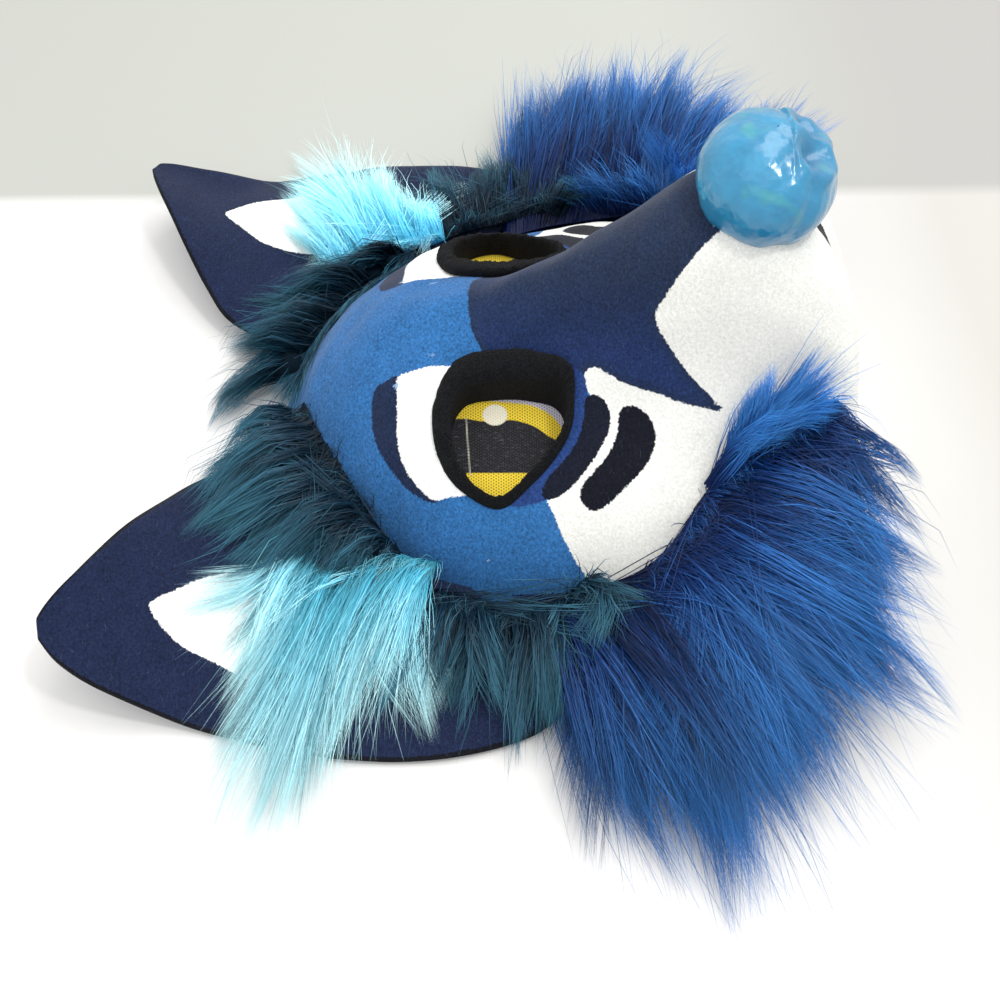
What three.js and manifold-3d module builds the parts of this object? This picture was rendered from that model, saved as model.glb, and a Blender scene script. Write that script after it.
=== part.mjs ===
// A canine half mask that lies on its back: a hollow felt-covered face with painted colours, raised black
// eye rims with printed mesh behind them, a modelled nose, two big felt ears and patches of long fur.
//
// Millimetres. X runs across the face, and the wearer's left is +X. Y runs from the chin (-Y) to the ear
// tips (+Y). Z is up: the face looks up, and the flat rim of the shell rests on the plane z = 0.

import * as THREE from 'three';
import * as BufferGeometryUtils from 'three/addons/utils/BufferGeometryUtils.js';
import Module from 'manifold-3d';

const wasm = await Module();
wasm.setup();

// Driving dimensions

const wallThickness = 3;
const fitGap = 0.3;
const centreShift = -17.55;

// The face is a loft of cross sections from the forehead edge to the chin. Each row gives the place of the
// section on the centre line, how far its ends are swept back, the height of the ridge, four points down the
// side, the half width where it meets the rim, and the depth of the groove under the nose.

const faceColumns = ['y', 'sweep', 'ridge', 'x1', 'z1', 'x2', 'z2', 'x3', 'z3', 'x4', 'z4', 'half', 'groove'];
const faceSections = [
  [92, -14, 0, 10, 0, 20, 0, 28, 0, 34, 0, 40, 0],
  [86, -16, 11, 12, 10.5, 24, 8, 36, 5, 44, 3, 51, 0],
  [78, -16, 24, 14, 22.5, 28, 17.5, 41, 11, 51, 5, 59, 0],
  [68, -14, 35, 14, 33, 28, 28, 43, 19, 56, 9, 66, 0],
  [56, -11, 45, 14, 42, 28, 36, 46, 26, 61, 13, 73, 0],
  [42, -6, 52, 12, 48.5, 26, 43, 46, 34, 66, 18, 79, 0],
  [27, -2, 56, 11, 52.5, 24, 46, 46, 37, 68, 21, 83, 0],
  [12, 0, 61.5, 10, 57, 21, 47.5, 44, 38, 68, 22, 86, 0],
  [-4, 1, 70, 11, 64.5, 21, 51, 42, 39.5, 70, 23, 90, 0],
  [-20, 2, 80, 13, 74.5, 23, 60, 40, 44, 71, 26, 94, 0],
  [-36, 3, 91, 15, 85.5, 25, 72, 39, 50, 70, 28, 96, 0],
  [-52, 5, 101, 16, 97, 26, 82, 38, 55, 68, 30, 97, 0],
  [-66, 8, 101, 18, 97, 28, 82, 39, 56, 67, 30, 96, 0],
  [-80, 12, 94, 18, 91, 29, 77, 39, 54, 65, 29, 93, 1],
  [-93, 15, 80, 17, 78, 29, 66, 39, 48, 63, 26, 90, 3],
  [-103, 17, 60, 16, 59, 29, 50, 39, 38, 61, 20, 86, 4],
  [-109, 18, 36, 15, 35.5, 28, 31, 39, 24, 60, 13, 82, 3],
  [-113, 18, 0, 14, 0, 28, 0, 41, 0, 60, 0, 78, 0],
].map((row) => Object.fromEntries(faceColumns.map((column, i) => [column, row[i]])));

const grooveWidth = 6;

// One value of a table at a place between its rows, on a smooth curve through the rows.
function smoothRow(rows, place) {
  const last = rows.length - 1;
  const scaled = THREE.MathUtils.clamp(place, 0, 1) * last;
  const index = Math.min(Math.floor(scaled), last - 1);
  const f = scaled - index;
  const before = rows[Math.max(index - 1, 0)];
  const from = rows[index];
  const to = rows[index + 1];
  const after = rows[Math.min(index + 2, last)];
  const value = {};
  for (const column of Object.keys(from)) {
    const slope0 = (to[column] - before[column]) / 2;
    const slope1 = (after[column] - from[column]) / 2;
    const a = 2 * from[column] - 2 * to[column] + slope0 + slope1;
    const b = -3 * from[column] + 3 * to[column] - 2 * slope0 - slope1;
    value[column] = ((a * f + b) * f + slope0) * f + from[column];
  }
  return value;
}

// A point of the face: along runs 0 to 1 from forehead to chin, across runs -1 to 1 from right rim to left.
function facePoint(along, across) {
  const row = smoothRow(faceSections, along);
  const side = [
    new THREE.Vector3(-row.x1, row.z1, 0),
    new THREE.Vector3(0, row.ridge, 0),
    new THREE.Vector3(row.x1, row.z1, 0),
    new THREE.Vector3(row.x2, row.z2, 0),
    new THREE.Vector3(row.x3, row.z3, 0),
    new THREE.Vector3(row.x4, row.z4, 0),
    new THREE.Vector3(row.half, 0, 0),
  ];
  const spans = side.length - 2;
  const scaled = Math.min(Math.abs(across) * spans, spans - 1e-9);
  const index = Math.floor(scaled) + 1;
  const f = scaled - Math.floor(scaled);
  const before = side[index - 1];
  const from = side[index];
  const to = side[index + 1];
  const after = side[index + 2] ?? to.clone().multiplyScalar(2).sub(from);
  const hermite = (p0, p1, p2, p3) => {
    const slope0 = (p2 - p0) / 2;
    const slope1 = (p3 - p1) / 2;
    const a = 2 * p1 - 2 * p2 + slope0 + slope1;
    const b = -3 * p1 + 3 * p2 - 2 * slope0 - slope1;
    return ((a * f + b) * f + slope0) * f + p1;
  };
  const x = hermite(before.x, from.x, to.x, after.x);
  const z = Math.max(hermite(before.y, from.y, to.y, after.y), 0);
  const y = row.y + row.sweep * (x / row.half) ** 2 + row.groove * Math.exp(-((x / grooveWidth) ** 2));
  return new THREE.Vector3(Math.sign(across) * x, y, z);
}

// The outward direction of the face at a point.
function faceNormal(along, across) {
  const step = 0.004;
  const ahead = facePoint(Math.min(along + step, 1), across);
  const forward = ahead.sub(facePoint(Math.max(along - step, 0), across));
  const sideways = facePoint(along, across + step).sub(facePoint(along, across - step));
  const normal = sideways.cross(forward).negate();
  return normal.lengthSq() > 0 ? normal.normalize() : new THREE.Vector3(0, 0, 1);
}

// Solids

function toSolid(geometry) {
  const bare = geometry.index ? geometry.clone() : BufferGeometryUtils.mergeVertices(geometry);
  bare.deleteAttribute('normal');
  bare.deleteAttribute('uv');
  const merged = BufferGeometryUtils.mergeVertices(bare, 1e-4);
  const vertProperties = new Float32Array(merged.attributes.position.array);
  const triVerts = new Uint32Array(merged.index.array);
  return new wasm.Manifold(new wasm.Mesh({ numProp: 3, vertProperties, triVerts }));
}

function toGeometry(solid) {
  const mesh = solid.getMesh();
  const geometry = new THREE.BufferGeometry();
  geometry.setAttribute('position', new THREE.BufferAttribute(new Float32Array(mesh.vertProperties), 3));
  geometry.setIndex(new THREE.BufferAttribute(new Uint32Array(mesh.triVerts), 1));
  geometry.computeVertexNormals();
  return geometry;
}

// Keeps the outermost shell of a fused bundle, so that closed hollows between its locks are filled.
function outerShell(solid) {
  const { vertProperties, triVerts } = solid.getMesh();
  const owner = Array.from({ length: vertProperties.length / 3 }, (_, i) => i);
  const find = (i) => {
    while (owner[i] !== i) {
      owner[i] = owner[owner[i]];
      i = owner[i];
    }
    return i;
  };
  for (let i = 0; i < triVerts.length; i += 3) {
    owner[find(triVerts[i])] = find(triVerts[i + 1]);
    owner[find(triVerts[i + 2])] = find(triVerts[i + 1]);
  }
  const counts = new Map();
  for (const vertex of triVerts) counts.set(find(vertex), (counts.get(find(vertex)) ?? 0) + 1);
  const main = [...counts].sort((a, b) => b[1] - a[1])[0][0];
  const index = [];
  for (let i = 0; i < triVerts.length; i += 3) {
    if (find(triVerts[i]) === main) index.push(triVerts[i], triVerts[i + 1], triVerts[i + 2]);
  }
  return solidFrom(Array.from(vertProperties), index);
}

// A closed body from rings of points, all with the same number of points. Each ring closes on itself. Fans
// close the ends, the last one to a given point, unless the last ring joins the first.
function ringBody(rings, joined = false, point = null) {
  const sides = rings[0].length;
  const positions = rings.flat().flatMap((p) => [p.x, p.y, p.z]);
  const index = [];
  const ringCount = joined ? rings.length : rings.length - 1;
  for (let i = 0; i < ringCount; i++) {
    const next = (i + 1) % rings.length;
    for (let j = 0; j < sides; j++) {
      const k = (j + 1) % sides;
      index.push(i * sides + j, i * sides + k, next * sides + k);
      index.push(i * sides + j, next * sides + k, next * sides + j);
    }
  }
  if (!joined) {
    for (const [ring, flip] of [[0, true], [rings.length - 1, false]]) {
      const middle = rings[ring].reduce((sum, p) => sum.add(p), new THREE.Vector3()).divideScalar(sides);
      const centre = point && !flip ? point : middle;
      const tip = positions.length / 3;
      positions.push(centre.x, centre.y, centre.z);
      for (let j = 0; j < sides; j++) {
        const a = ring * sides + j;
        const b = ring * sides + ((j + 1) % sides);
        index.push(...(flip ? [b, a, tip] : [a, b, tip]));
      }
    }
  }
  return solidFrom(positions, index);
}

// Turns a closed list of triangles the right way out and makes it a solid.
function solidFrom(positions, index) {
  const point = (i) => new THREE.Vector3(...positions.slice(i * 3, i * 3 + 3));
  let volume = 0;
  for (let i = 0; i < index.length; i += 3) {
    volume += point(index[i]).dot(point(index[i + 1]).cross(point(index[i + 2])));
  }
  const faces = volume < 0 ? index.map((_, i) => index[i - (i % 3) + 2 - (i % 3)]) : index;
  const geometry = new THREE.BufferGeometry();
  geometry.setAttribute('position', new THREE.Float32BufferAttribute(positions, 3));
  geometry.setIndex(faces);
  return toSolid(geometry);
}

// A closed body between an upper net of points and a lower net of the same size.
function sheetBody(upper, lower) {
  const rows = upper.length;
  const columns = upper[0].length;
  const positions = [...upper, ...lower].flat().flatMap((p) => [p.x, p.y, p.z]);
  const at = (layer, i, j) => layer * rows * columns + i * columns + j;
  const index = [];
  for (let i = 0; i < rows - 1; i++) {
    for (let j = 0; j < columns - 1; j++) {
      const [a, b, c, d] = [at(0, i, j), at(0, i + 1, j), at(0, i + 1, j + 1), at(0, i, j + 1)];
      const [e, f, g, h] = [at(1, i, j), at(1, i + 1, j), at(1, i + 1, j + 1), at(1, i, j + 1)];
      index.push(a, b, c, a, c, d, e, g, f, e, h, g);
    }
  }
  const border = [];
  for (let j = 0; j < columns - 1; j++) border.push([0, j]);
  for (let i = 0; i < rows - 1; i++) border.push([i, columns - 1]);
  for (let j = columns - 1; j > 0; j--) border.push([rows - 1, j]);
  for (let i = rows - 1; i > 0; i--) border.push([i, 0]);
  for (let n = 0; n < border.length; n++) {
    const [i, j] = border[n];
    const [k, l] = border[(n + 1) % border.length];
    index.push(at(0, i, j), at(0, k, l), at(1, k, l), at(0, i, j), at(1, k, l), at(1, i, j));
  }
  return solidFrom(positions, index);
}

const mirrorX = new THREE.Matrix4().makeScale(-1, 1, 1);

function mirrored(solid) {
  const geometry = toGeometry(solid);
  geometry.applyMatrix4(mirrorX);
  const index = geometry.index.array;
  for (let i = 0; i < index.length; i += 3) [index[i], index[i + 1]] = [index[i + 1], index[i]];
  return toSolid(geometry);
}

function boxSolid(width, depth, height, x, y, z) {
  return toSolid(new THREE.BoxGeometry(width, depth, height).translate(x, y, z));
}

const roomSize = 600;
const aboveTable = boxSolid(roomSize, roomSize, roomSize, 0, 0, roomSize / 2);

// The body under the face surface, moved out by a distance, with a skirt that runs below the table.
function faceBody(offset, alongSteps, acrossSteps) {
  const skirtDepth = 24;
  const upper = [];
  for (let i = 0; i <= alongSteps; i++) {
    const row = [];
    for (let j = 0; j <= acrossSteps; j++) {
      const along = i / alongSteps;
      const across = -1 + (2 * j) / acrossSteps;
      const inset = 0.002;
      const normal = faceNormal(THREE.MathUtils.clamp(along, inset, 1 - inset),
        THREE.MathUtils.clamp(across, -1 + 2 * inset, 1 - 2 * inset));
      row.push(facePoint(along, across).addScaledVector(normal, offset));
    }
    upper.push(row);
  }
  const lower = upper.map((row) => row.map((p) => new THREE.Vector3(p.x, p.y, -skirtDepth)));
  return sheetBody(upper, lower);
}

const outerFace = faceBody(0, 30, 26);
const innerFace = faceBody(-wallThickness, 17, 14);
const keepClearOfFace = faceBody(fitGap, 30, 26);

// Eyes: the opening in plan on the wearer's right, each corner with the width of the black rim beside it

const eyeOutline = [
  { x: -28, y: -6, rim: 5 },
  { x: -27, y: 4, rim: 8.5 },
  { x: -27, y: 14, rim: 9.3 },
  { x: -28.5, y: 23, rim: 9 },
  { x: -34, y: 28, rim: 6.5 },
  { x: -43, y: 28.5, rim: 6 },
  { x: -52, y: 26, rim: 4.5 },
  { x: -58.5, y: 20, rim: 2.8 },
  { x: -60.5, y: 13, rim: 2.6 },
  { x: -55, y: 4.5, rim: 2.6 },
  { x: -48, y: -3, rim: 2.6 },
  { x: -41, y: -7.5, rim: 2.6 },
  { x: -33, y: -8.5, rim: 2.6 },
];
const rimSteps = 26;
const rimSeat = 0.5;
// The rim's section over the felt: how far out, as a share of the rim's width, and how high.
const rimSection = [
  { out: 0, rise: 2 },
  { out: 0.5, rise: 3.4 },
  { out: 0.9, rise: 2.6 },
  { out: 1, rise: 1 },
  { out: 1, rise: rimSeat },
];
const sleeveWall = 1.5;
const meshThickness = 1;
const meshTilt = THREE.MathUtils.degToRad(21);
const meshCentre = new THREE.Vector3(-43, 10, 27);

const eyeCurve = new THREE.CatmullRomCurve3(
  eyeOutline.map((c) => new THREE.Vector3(c.x, c.y, c.rim)), true, 'centripetal');
const eyeRing = eyeCurve.getPoints(rimSteps).slice(0, rimSteps);

// The opening's outline moved outward by a distance, in plan.
function eyePlan(grow) {
  return eyeRing.map((p, i) => {
    const before = eyeRing[(i + rimSteps - 1) % rimSteps];
    const after = eyeRing[(i + 1) % rimSteps];
    const outward = new THREE.Vector2(after.y - before.y, before.x - after.x).normalize();
    const distance = typeof grow === 'function' ? grow(p.z) : grow;
    return new THREE.Vector2(p.x + outward.x * distance, p.y + outward.y * distance);
  });
}

function eyePrism(grow) {
  const low = -5;
  const high = 120;
  const plan = eyePlan(grow);
  return ringBody([low, high].map((z) => plan.map((p) => new THREE.Vector3(p.x, p.y, z))));
}

const ray = new THREE.Raycaster();
const bothSides = new THREE.MeshBasicMaterial({ side: THREE.DoubleSide });
const faceMesh = new THREE.Mesh(toGeometry(outerFace), bothSides);

// The height of the face above a place in plan.
function faceHeight(x, y) {
  ray.set(new THREE.Vector3(x, y, roomSize), new THREE.Vector3(0, 0, -1));
  return ray.intersectObject(faceMesh)[0]?.point.z ?? 0;
}

function meshHeight(x) {
  return meshCentre.z + (x - meshCentre.x) * Math.tan(meshTilt);
}

// A black ring round the eye: a soft flange on the felt and a sleeve that goes down to the mesh.
function makeEyeRim() {
  const inner = eyePlan(0);
  const sleeve = eyePlan(sleeveWall);
  const section = rimSection.map(({ out, rise }) => ({ plan: eyePlan((rim) => rim * out), rise }));
  const rings = inner.map((p, i) => {
    const onFelt = ({ x, y }, rise) => new THREE.Vector3(x, y, faceHeight(x, y) + rise);
    const foot = ({ x, y }) => new THREE.Vector3(x, y, meshHeight(x) + fitGap);
    return [
      foot(p),
      ...section.map(({ plan, rise }) => onFelt(plan[i], rise)),
      onFelt(sleeve[i], rimSeat),
      foot(sleeve[i]),
    ];
  });
  return ringBody(rings, true);
}

function makeEyeMesh() {
  const plan = eyePlan(sleeveWall);
  const level = (drop) => plan.map((p) => new THREE.Vector3(p.x, p.y, meshHeight(p.x) - drop));
  return ringBody([level(0), level(meshThickness)]);
}

// Nose: a lump modelled by hand, with a flat dimple for each nostril and a crease under each

const noseCentre = new THREE.Vector3(0, -66, 105);
const noseRadii = new THREE.Vector3(23, 20.5, 18);
const nostrils = [
  { x: 10, y: -14, z: 8, reach: 6.5, depth: 4.5 },
  { x: 15, y: -12, z: -4, reach: 5, depth: 2.5 },
  { x: 0, y: -20, z: 2, reach: 4.5, depth: 2.5 },
];

function makeNose() {
  const geometry = new THREE.SphereGeometry(1, 20, 12);
  geometry.rotateX(Math.PI / 2);
  const position = geometry.attributes.position;
  const p = new THREE.Vector3();
  for (let i = 0; i < position.count; i++) {
    p.fromBufferAttribute(position, i).multiply(noseRadii);
    const outward = p.clone().normalize();
    let push = 0;
    for (const dimple of nostrils) {
      const away = Math.hypot(Math.abs(p.x) - dimple.x, p.y - dimple.y, p.z - dimple.z);
      push += dimple.depth * Math.exp(-((away / dimple.reach) ** 2));
    }
    p.addScaledVector(outward, -push).add(noseCentre);
    position.setXYZ(i, p.x, p.y, p.z);
  }
  return toSolid(geometry).subtract(keepClearOfFace);
}

// Ears: one row for each section from the root to the tip, with the places of the inner and outer edge of the
// underside, on the wearer's right. The middle sinks by the cup.

const earThickness = 4;
const earSections = [
  { innerX: -22, innerY: 80, innerZ: 2, outerX: -116, outerY: -12, outerZ: 0.5, cup: 0 },
  { innerX: -29, innerY: 101, innerZ: 5, outerX: -130, outerY: 4, outerZ: 0, cup: 0 },
  { innerX: -38, innerY: 117, innerZ: 7.5, outerX: -137, outerY: 31, outerZ: 0, cup: 1 },
  { innerX: -50, innerY: 126, innerZ: 13, outerX: -137, outerY: 60, outerZ: 0, cup: 1 },
  { innerX: -64, innerY: 134, innerZ: 20, outerX: -132, outerY: 87, outerZ: 0, cup: 2 },
  { innerX: -78, innerY: 141, innerZ: 24, outerX: -126, outerY: 110, outerZ: 1.5, cup: 2 },
  { innerX: -90, innerY: 147, innerZ: 26, outerX: -119.5, outerY: 133, outerZ: 13, cup: 2 },
  { innerX: -98, innerY: 150.5, innerZ: 26.5, outerX: -114, outerY: 145, outerZ: 20, cup: 1 },
  { innerX: -103, innerY: 152, innerZ: 26, outerX: -108, outerY: 151, outerZ: 24.5, cup: 0 },
];

function earPoint(along, across, lift) {
  const row = smoothRow(earSections, along);
  const x = THREE.MathUtils.lerp(row.innerX, row.outerX, across);
  const y = THREE.MathUtils.lerp(row.innerY, row.outerY, across);
  const sag = row.cup * 4 * across * (1 - across);
  const z = Math.max(THREE.MathUtils.lerp(row.innerZ, row.outerZ, across) - sag, 0) + lift;
  return new THREE.Vector3(x, y, z);
}

function earBody(grow) {
  const alongSteps = 10;
  const acrossSteps = 4;
  const net = (lift) => Array.from({ length: alongSteps + 1 }, (_, i) =>
    Array.from({ length: acrossSteps + 1 }, (_, j) => {
      const across = (j / acrossSteps) * (1 + 2 * grow * 0.01) - grow * 0.01;
      return earPoint(i / alongSteps, across, lift);
    }));
  return sheetBody(net(earThickness + grow), net(-grow));
}

function makeEar() {
  return earBody(0).subtract(keepClearOfFace);
}

// Fur: tiers of pointed locks fused into one patch. In each tier the roots lie along one curve and the tips
// along another, on the wearer's right, and a lock bulges upward between them.

const furTiers = {
  cheek_fur: [
    {
      locks: 7, width: 32, thick: 20, rise: 8,
      roots: [[-84, 10, 8], [-89, -2, 8], [-90, -20, 9], [-90, -40, 10], [-84, -66, 12], [-70, -84, 14]],
      tips: [
        [-164, -4, 2], [-181, -18, 2], [-189, -45, 2],
        [-178, -80, 3], [-157, -106, 5], [-128, -119.76, 9],
      ],
    },
    {
      locks: 5, width: 34, thick: 18, rise: 12,
      roots: [
        [-86, -8, 12], [-88, -24, 14], [-84, -40, 20],
        [-76, -54, 26], [-66, -70, 31], [-50, -90, 34],
      ],
      tips: [
        [-174, -34, 16], [-177, -58, 18], [-163, -80, 20],
        [-143, -97, 22], [-121, -108, 26], [-90, -113, 34],
      ],
    },
    {
      locks: 4, width: 36, thick: 15, rise: 9,
      roots: [
        [-86, -26, 15], [-77, -40, 25], [-65, -50, 34],
        [-54, -62, 42], [-44, -80, 48], [-38, -92, 48],
      ],
      tips: [
        [-150, -62, 32], [-136, -80, 37], [-117, -93, 40],
        [-95, -102, 43], [-73, -105, 47], [-52, -102, 57],
      ],
    },
    {
      locks: 2, width: 26, thick: 15, rise: 5,
      roots: [[-64, -54, 37], [-57, -66, 41], [-50, -82, 44]],
      tips: [[-53, -68, 66], [-47, -80, 69], [-42, -92, 65]],
    },
  ],
  temple_fur: [
    {
      locks: 6, width: 22, thick: 13, rise: 9,
      roots: [[-78, 34, 10], [-84, 20, 12], [-86, 6, 14], [-84, -6, 18], [-80, -10, 21]],
      tips: [[-115, 47, 10], [-126, 22, 9], [-130, 2, 9], [-112, -14, 18], [-82, -33, 28]],
    },
  ],
  ear_fluff: [
    {
      locks: 6, width: 26, thick: 12, rise: 11,
      roots: [[-44, 76, 8], [-57, 66, 8], [-69, 52, 8], [-77, 38, 8]],
      tips: [[-84, 101, 13], [-128, 94, 5], [-159, 88, 1.5], [-146, 69, 4], [-124, 48, 10]],
    },
  ],
  brow_tuft: [
    {
      locks: 7, width: 25, thick: 17, rise: 14,
      roots: [[-6, 83, 10], [-22, 74, 14], [-40, 62, 16], [-58, 48, 16]],
      tips: [[-6, 108, 20], [-29, 115, 19], [-52, 108, 16], [-79, 91, 12], [-84, 62, 13]],
    },
  ],
};
const lockSides = 5;
const lockSteps = 3;
// Of every three locks one is shorter by this share and one is longer by it.
const lockSpread = 0.08;
// The bow is highest at this share of the length. The width starts at a share of the lock's own, swells, and
// falls with the square of the way along.
const bowPlace = 0.45;
const lockShape = { start: 0.72, swell: 0.9, taper: 1.55 };

function curveThrough(points) {
  return new THREE.CatmullRomCurve3(points.map((p) => new THREE.Vector3(...p)));
}

// One lock: flat rings along a bowed line that swell a little and then run out to a point.
function lockBody(root, tip, width, thick, rise, grow) {
  const middle = root.clone().lerp(tip, bowPlace);
  middle.z += rise * 2;
  const spine = new THREE.QuadraticBezierCurve3(root, middle, tip);
  const across = tip.clone().sub(root).cross(new THREE.Vector3(0, 0, 1)).normalize();
  const rings = [];
  for (let i = 0; i < lockSteps; i++) {
    const t = i / lockSteps;
    const full = lockShape.start + lockShape.swell * t - lockShape.taper * t * t;
    const centre = spine.getPoint(t);
    const up = across.clone().cross(spine.getTangent(t)).normalize();
    const ring = [];
    for (let j = 0; j < lockSides; j++) {
      const turn = (j / lockSides) * 2 * Math.PI;
      ring.push(centre.clone()
        .addScaledVector(across, Math.cos(turn) * (full * width / 2 + grow))
        .addScaledVector(up, Math.sin(turn) * (full * thick / 2 + grow)));
    }
    rings.push(ring);
  }
  return ringBody(rings, false, tip);
}

function furBody(name, grow) {
  const parts = [];
  for (const tier of furTiers[name]) {
    const roots = curveThrough(tier.roots);
    const tips = curveThrough(tier.tips);
    for (let i = 0; i < tier.locks; i++) {
      const place = i / (tier.locks - 1);
      const longer = 1 + lockSpread * ((i * 2) % 3 - 1);
      const root = roots.getPoint(place);
      const tip = root.clone().lerp(tips.getPoint(place), longer);
      parts.push(lockBody(root, tip, tier.width, tier.thick, tier.rise, grow));
    }
  }
  return wasm.Manifold.union(parts);
}

// Assembly

const colours = {
  felt: '#3672b8', nose: '#3d97cc', rim: '#1b1b1d', mesh: '#c9a52c', ear: '#2a2f5c',
  cheek_fur: '#1f5fb0', temple_fur: '#27566b', ear_fluff: '#7fd0dc', brow_tuft: '#27566b',
};

const group = new THREE.Group();
group.position.y = centreShift;

function addPiece(name, solid, colour, roughness = 0.9) {
  const material = new THREE.MeshStandardMaterial({ color: colour, roughness, metalness: 0 });
  const piece = new THREE.Mesh(toGeometry(solid), material);
  piece.name = name;
  group.add(piece);
}

function addPair(name, solid, colour) {
  addPiece(`${name}_right`, solid, colour);
  addPiece(`${name}_left`, mirrored(solid), colour);
}

const eyeHole = eyePrism(sleeveWall + fitGap);
const blankShell = outerFace.subtract(innerFace).intersect(aboveTable);
addPiece('face_shell', blankShell.subtract(eyeHole).subtract(mirrored(eyeHole)), colours.felt);
addPiece('nose', makeNose(), colours.nose, 0.25);
addPair('eye_rim', makeEyeRim(), colours.rim);
addPair('eye_mesh', makeEyeMesh(), colours.mesh);
addPair('ear', makeEar(), colours.ear);

// Each fur patch is trimmed to the face, the ear, the table and the patches laid before it.
const halfRoom = roomSize / 2;
const rightSide = boxSolid(halfRoom, roomSize, roomSize, -halfRoom / 2 - fitGap / 2, 0, halfRoom);
let taken = keepClearOfFace.add(earBody(fitGap));
for (const name of Object.keys(furTiers)) {
  const solid = outerShell(furBody(name, 0).intersect(rightSide).subtract(taken));
  addPair(name, solid, colours[name]);
  taken = taken.add(furBody(name, fitGap));
}

export default group;
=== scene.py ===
# %% [markdown]
# # A canine half mask with long fur
# The mask lies on its back, so its face looks up. Sizes are in millimetres in the mask's own layout: X runs
# across the face, Y from the chin to the ear tips and Z up from the table. Only the depths of bumps, the
# table and the lamps are in metres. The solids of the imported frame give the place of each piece, and the
# pieces made here stand for them with finer forms.

import bpy
import numpy as np
from mathutils import Matrix, Vector


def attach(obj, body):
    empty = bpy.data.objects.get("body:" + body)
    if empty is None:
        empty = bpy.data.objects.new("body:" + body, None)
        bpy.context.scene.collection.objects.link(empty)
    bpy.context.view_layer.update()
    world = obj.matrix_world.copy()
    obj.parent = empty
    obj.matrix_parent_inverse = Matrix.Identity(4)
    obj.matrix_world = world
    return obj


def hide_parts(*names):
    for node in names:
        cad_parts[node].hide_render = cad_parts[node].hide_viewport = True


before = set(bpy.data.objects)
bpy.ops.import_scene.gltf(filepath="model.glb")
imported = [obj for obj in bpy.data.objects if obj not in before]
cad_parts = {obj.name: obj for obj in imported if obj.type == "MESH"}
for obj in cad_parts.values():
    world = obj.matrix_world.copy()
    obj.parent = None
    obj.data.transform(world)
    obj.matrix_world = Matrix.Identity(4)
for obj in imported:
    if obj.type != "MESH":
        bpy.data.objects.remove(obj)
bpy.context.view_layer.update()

# %% [markdown]
# ## Camera and drawing
# The paint on a mask like this is laid out by eye on one cheek and repeated on the other. A flat drawing
# does the same job: every point of a cheek is seen through one eye point onto a sheet 1000 units wide, and
# the outline of each patch of paint is a few corners on that sheet. The camera stands at the same eye point.

# %% Eye point and camera
centre_shift = -17.55
eye_point = np.array([-259.5, 14.36, 316.17])
sheet_right = np.array([-0.012419, -0.999911, -0.004955])
sheet_up = np.array([0.823048, -0.013036, 0.567822])
sheet_away = np.array([0.567836, -0.002973, -0.823136])
sheet_width = 1000
focal_units = 1092
sensor_mm = 36
mm_in_metre = 1000


def to_frame(points):
    return (np.asarray(points, float) + [0, centre_shift, 0]) / mm_in_metre


def on_sheet(points):
    seen = points - eye_point
    away = seen @ sheet_away
    across = sheet_width / 2 + focal_units * (seen @ sheet_right) / away
    down = sheet_width / 2 - focal_units * (seen @ sheet_up) / away
    return np.stack([across, down], axis=1), away / focal_units


camera_data = bpy.data.cameras.new("camera")
camera_data.sensor_width = sensor_mm
camera_data.lens = focal_units / sheet_width * sensor_mm
camera = bpy.data.objects.new("camera", camera_data)
turn = Matrix([sheet_right, sheet_up, -sheet_away]).transposed().to_4x4()
camera.matrix_world = Matrix.Translation(to_frame(eye_point)) @ turn
bpy.context.scene.collection.objects.link(camera)
bpy.context.scene.camera = camera
bpy.context.scene.view_settings.view_transform = "Standard"
print("lens", round(camera_data.lens, 2), "mm")

# %% [markdown]
# ## Smooth curves
# A few measured corners are enough for an outline if a smooth curve runs through them. This is the
# centripetal Catmull-Rom curve, which doesn't overshoot where corners stand close together.

# %% Curves


def on_curve(corners, places, closed=False):
    corners = np.asarray(corners, float)
    count = len(corners)
    scaled = np.asarray(places, float) * (count if closed else count - 1)
    index = np.floor(scaled).astype(int)
    if not closed:
        index = np.clip(index, 0, count - 2)
    f = (scaled - index)[:, None]
    if closed:
        around = [corners[(index + step) % count] for step in (-1, 0, 1, 2)]
    else:
        longer = np.vstack([2 * corners[0] - corners[1], corners, 2 * corners[-1] - corners[-2]])
        around = [longer[index + step] for step in (0, 1, 2, 3)]
    p0, p1, p2, p3 = around
    spans = ((p0, p1), (p1, p2), (p2, p3))
    gap = [np.maximum(((b - a) ** 2).sum(1, keepdims=True) ** 0.25, 1e-4) for a, b in spans]
    leave = ((p1 - p0) / gap[0] - (p2 - p0) / (gap[0] + gap[1]) + (p2 - p1) / gap[1]) * gap[1]
    arrive = ((p2 - p1) / gap[1] - (p3 - p1) / (gap[1] + gap[2]) + (p3 - p2) / gap[2]) * gap[1]
    a = 2 * p1 - 2 * p2 + leave + arrive
    b = -3 * p1 + 3 * p2 - 2 * leave - arrive
    return ((a * f + b) * f + leave) * f + p1


def unit(vectors):
    return vectors / np.maximum(np.linalg.norm(vectors, axis=-1, keepdims=True), 1e-9)


# %% [markdown]
# ## Meshes from arrays
# Long lists of points are quick to make with numpy. The helper puts them into a Blender mesh, shades it
# smooth, keeps any values painted on the points, and lets the piece ride on the one body. Pieces are drawn on
# the wearer's right, at negative X, and mirrored for the left, with their faces turned round.

# %% Mesh helper
triangles_made = {}


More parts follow.
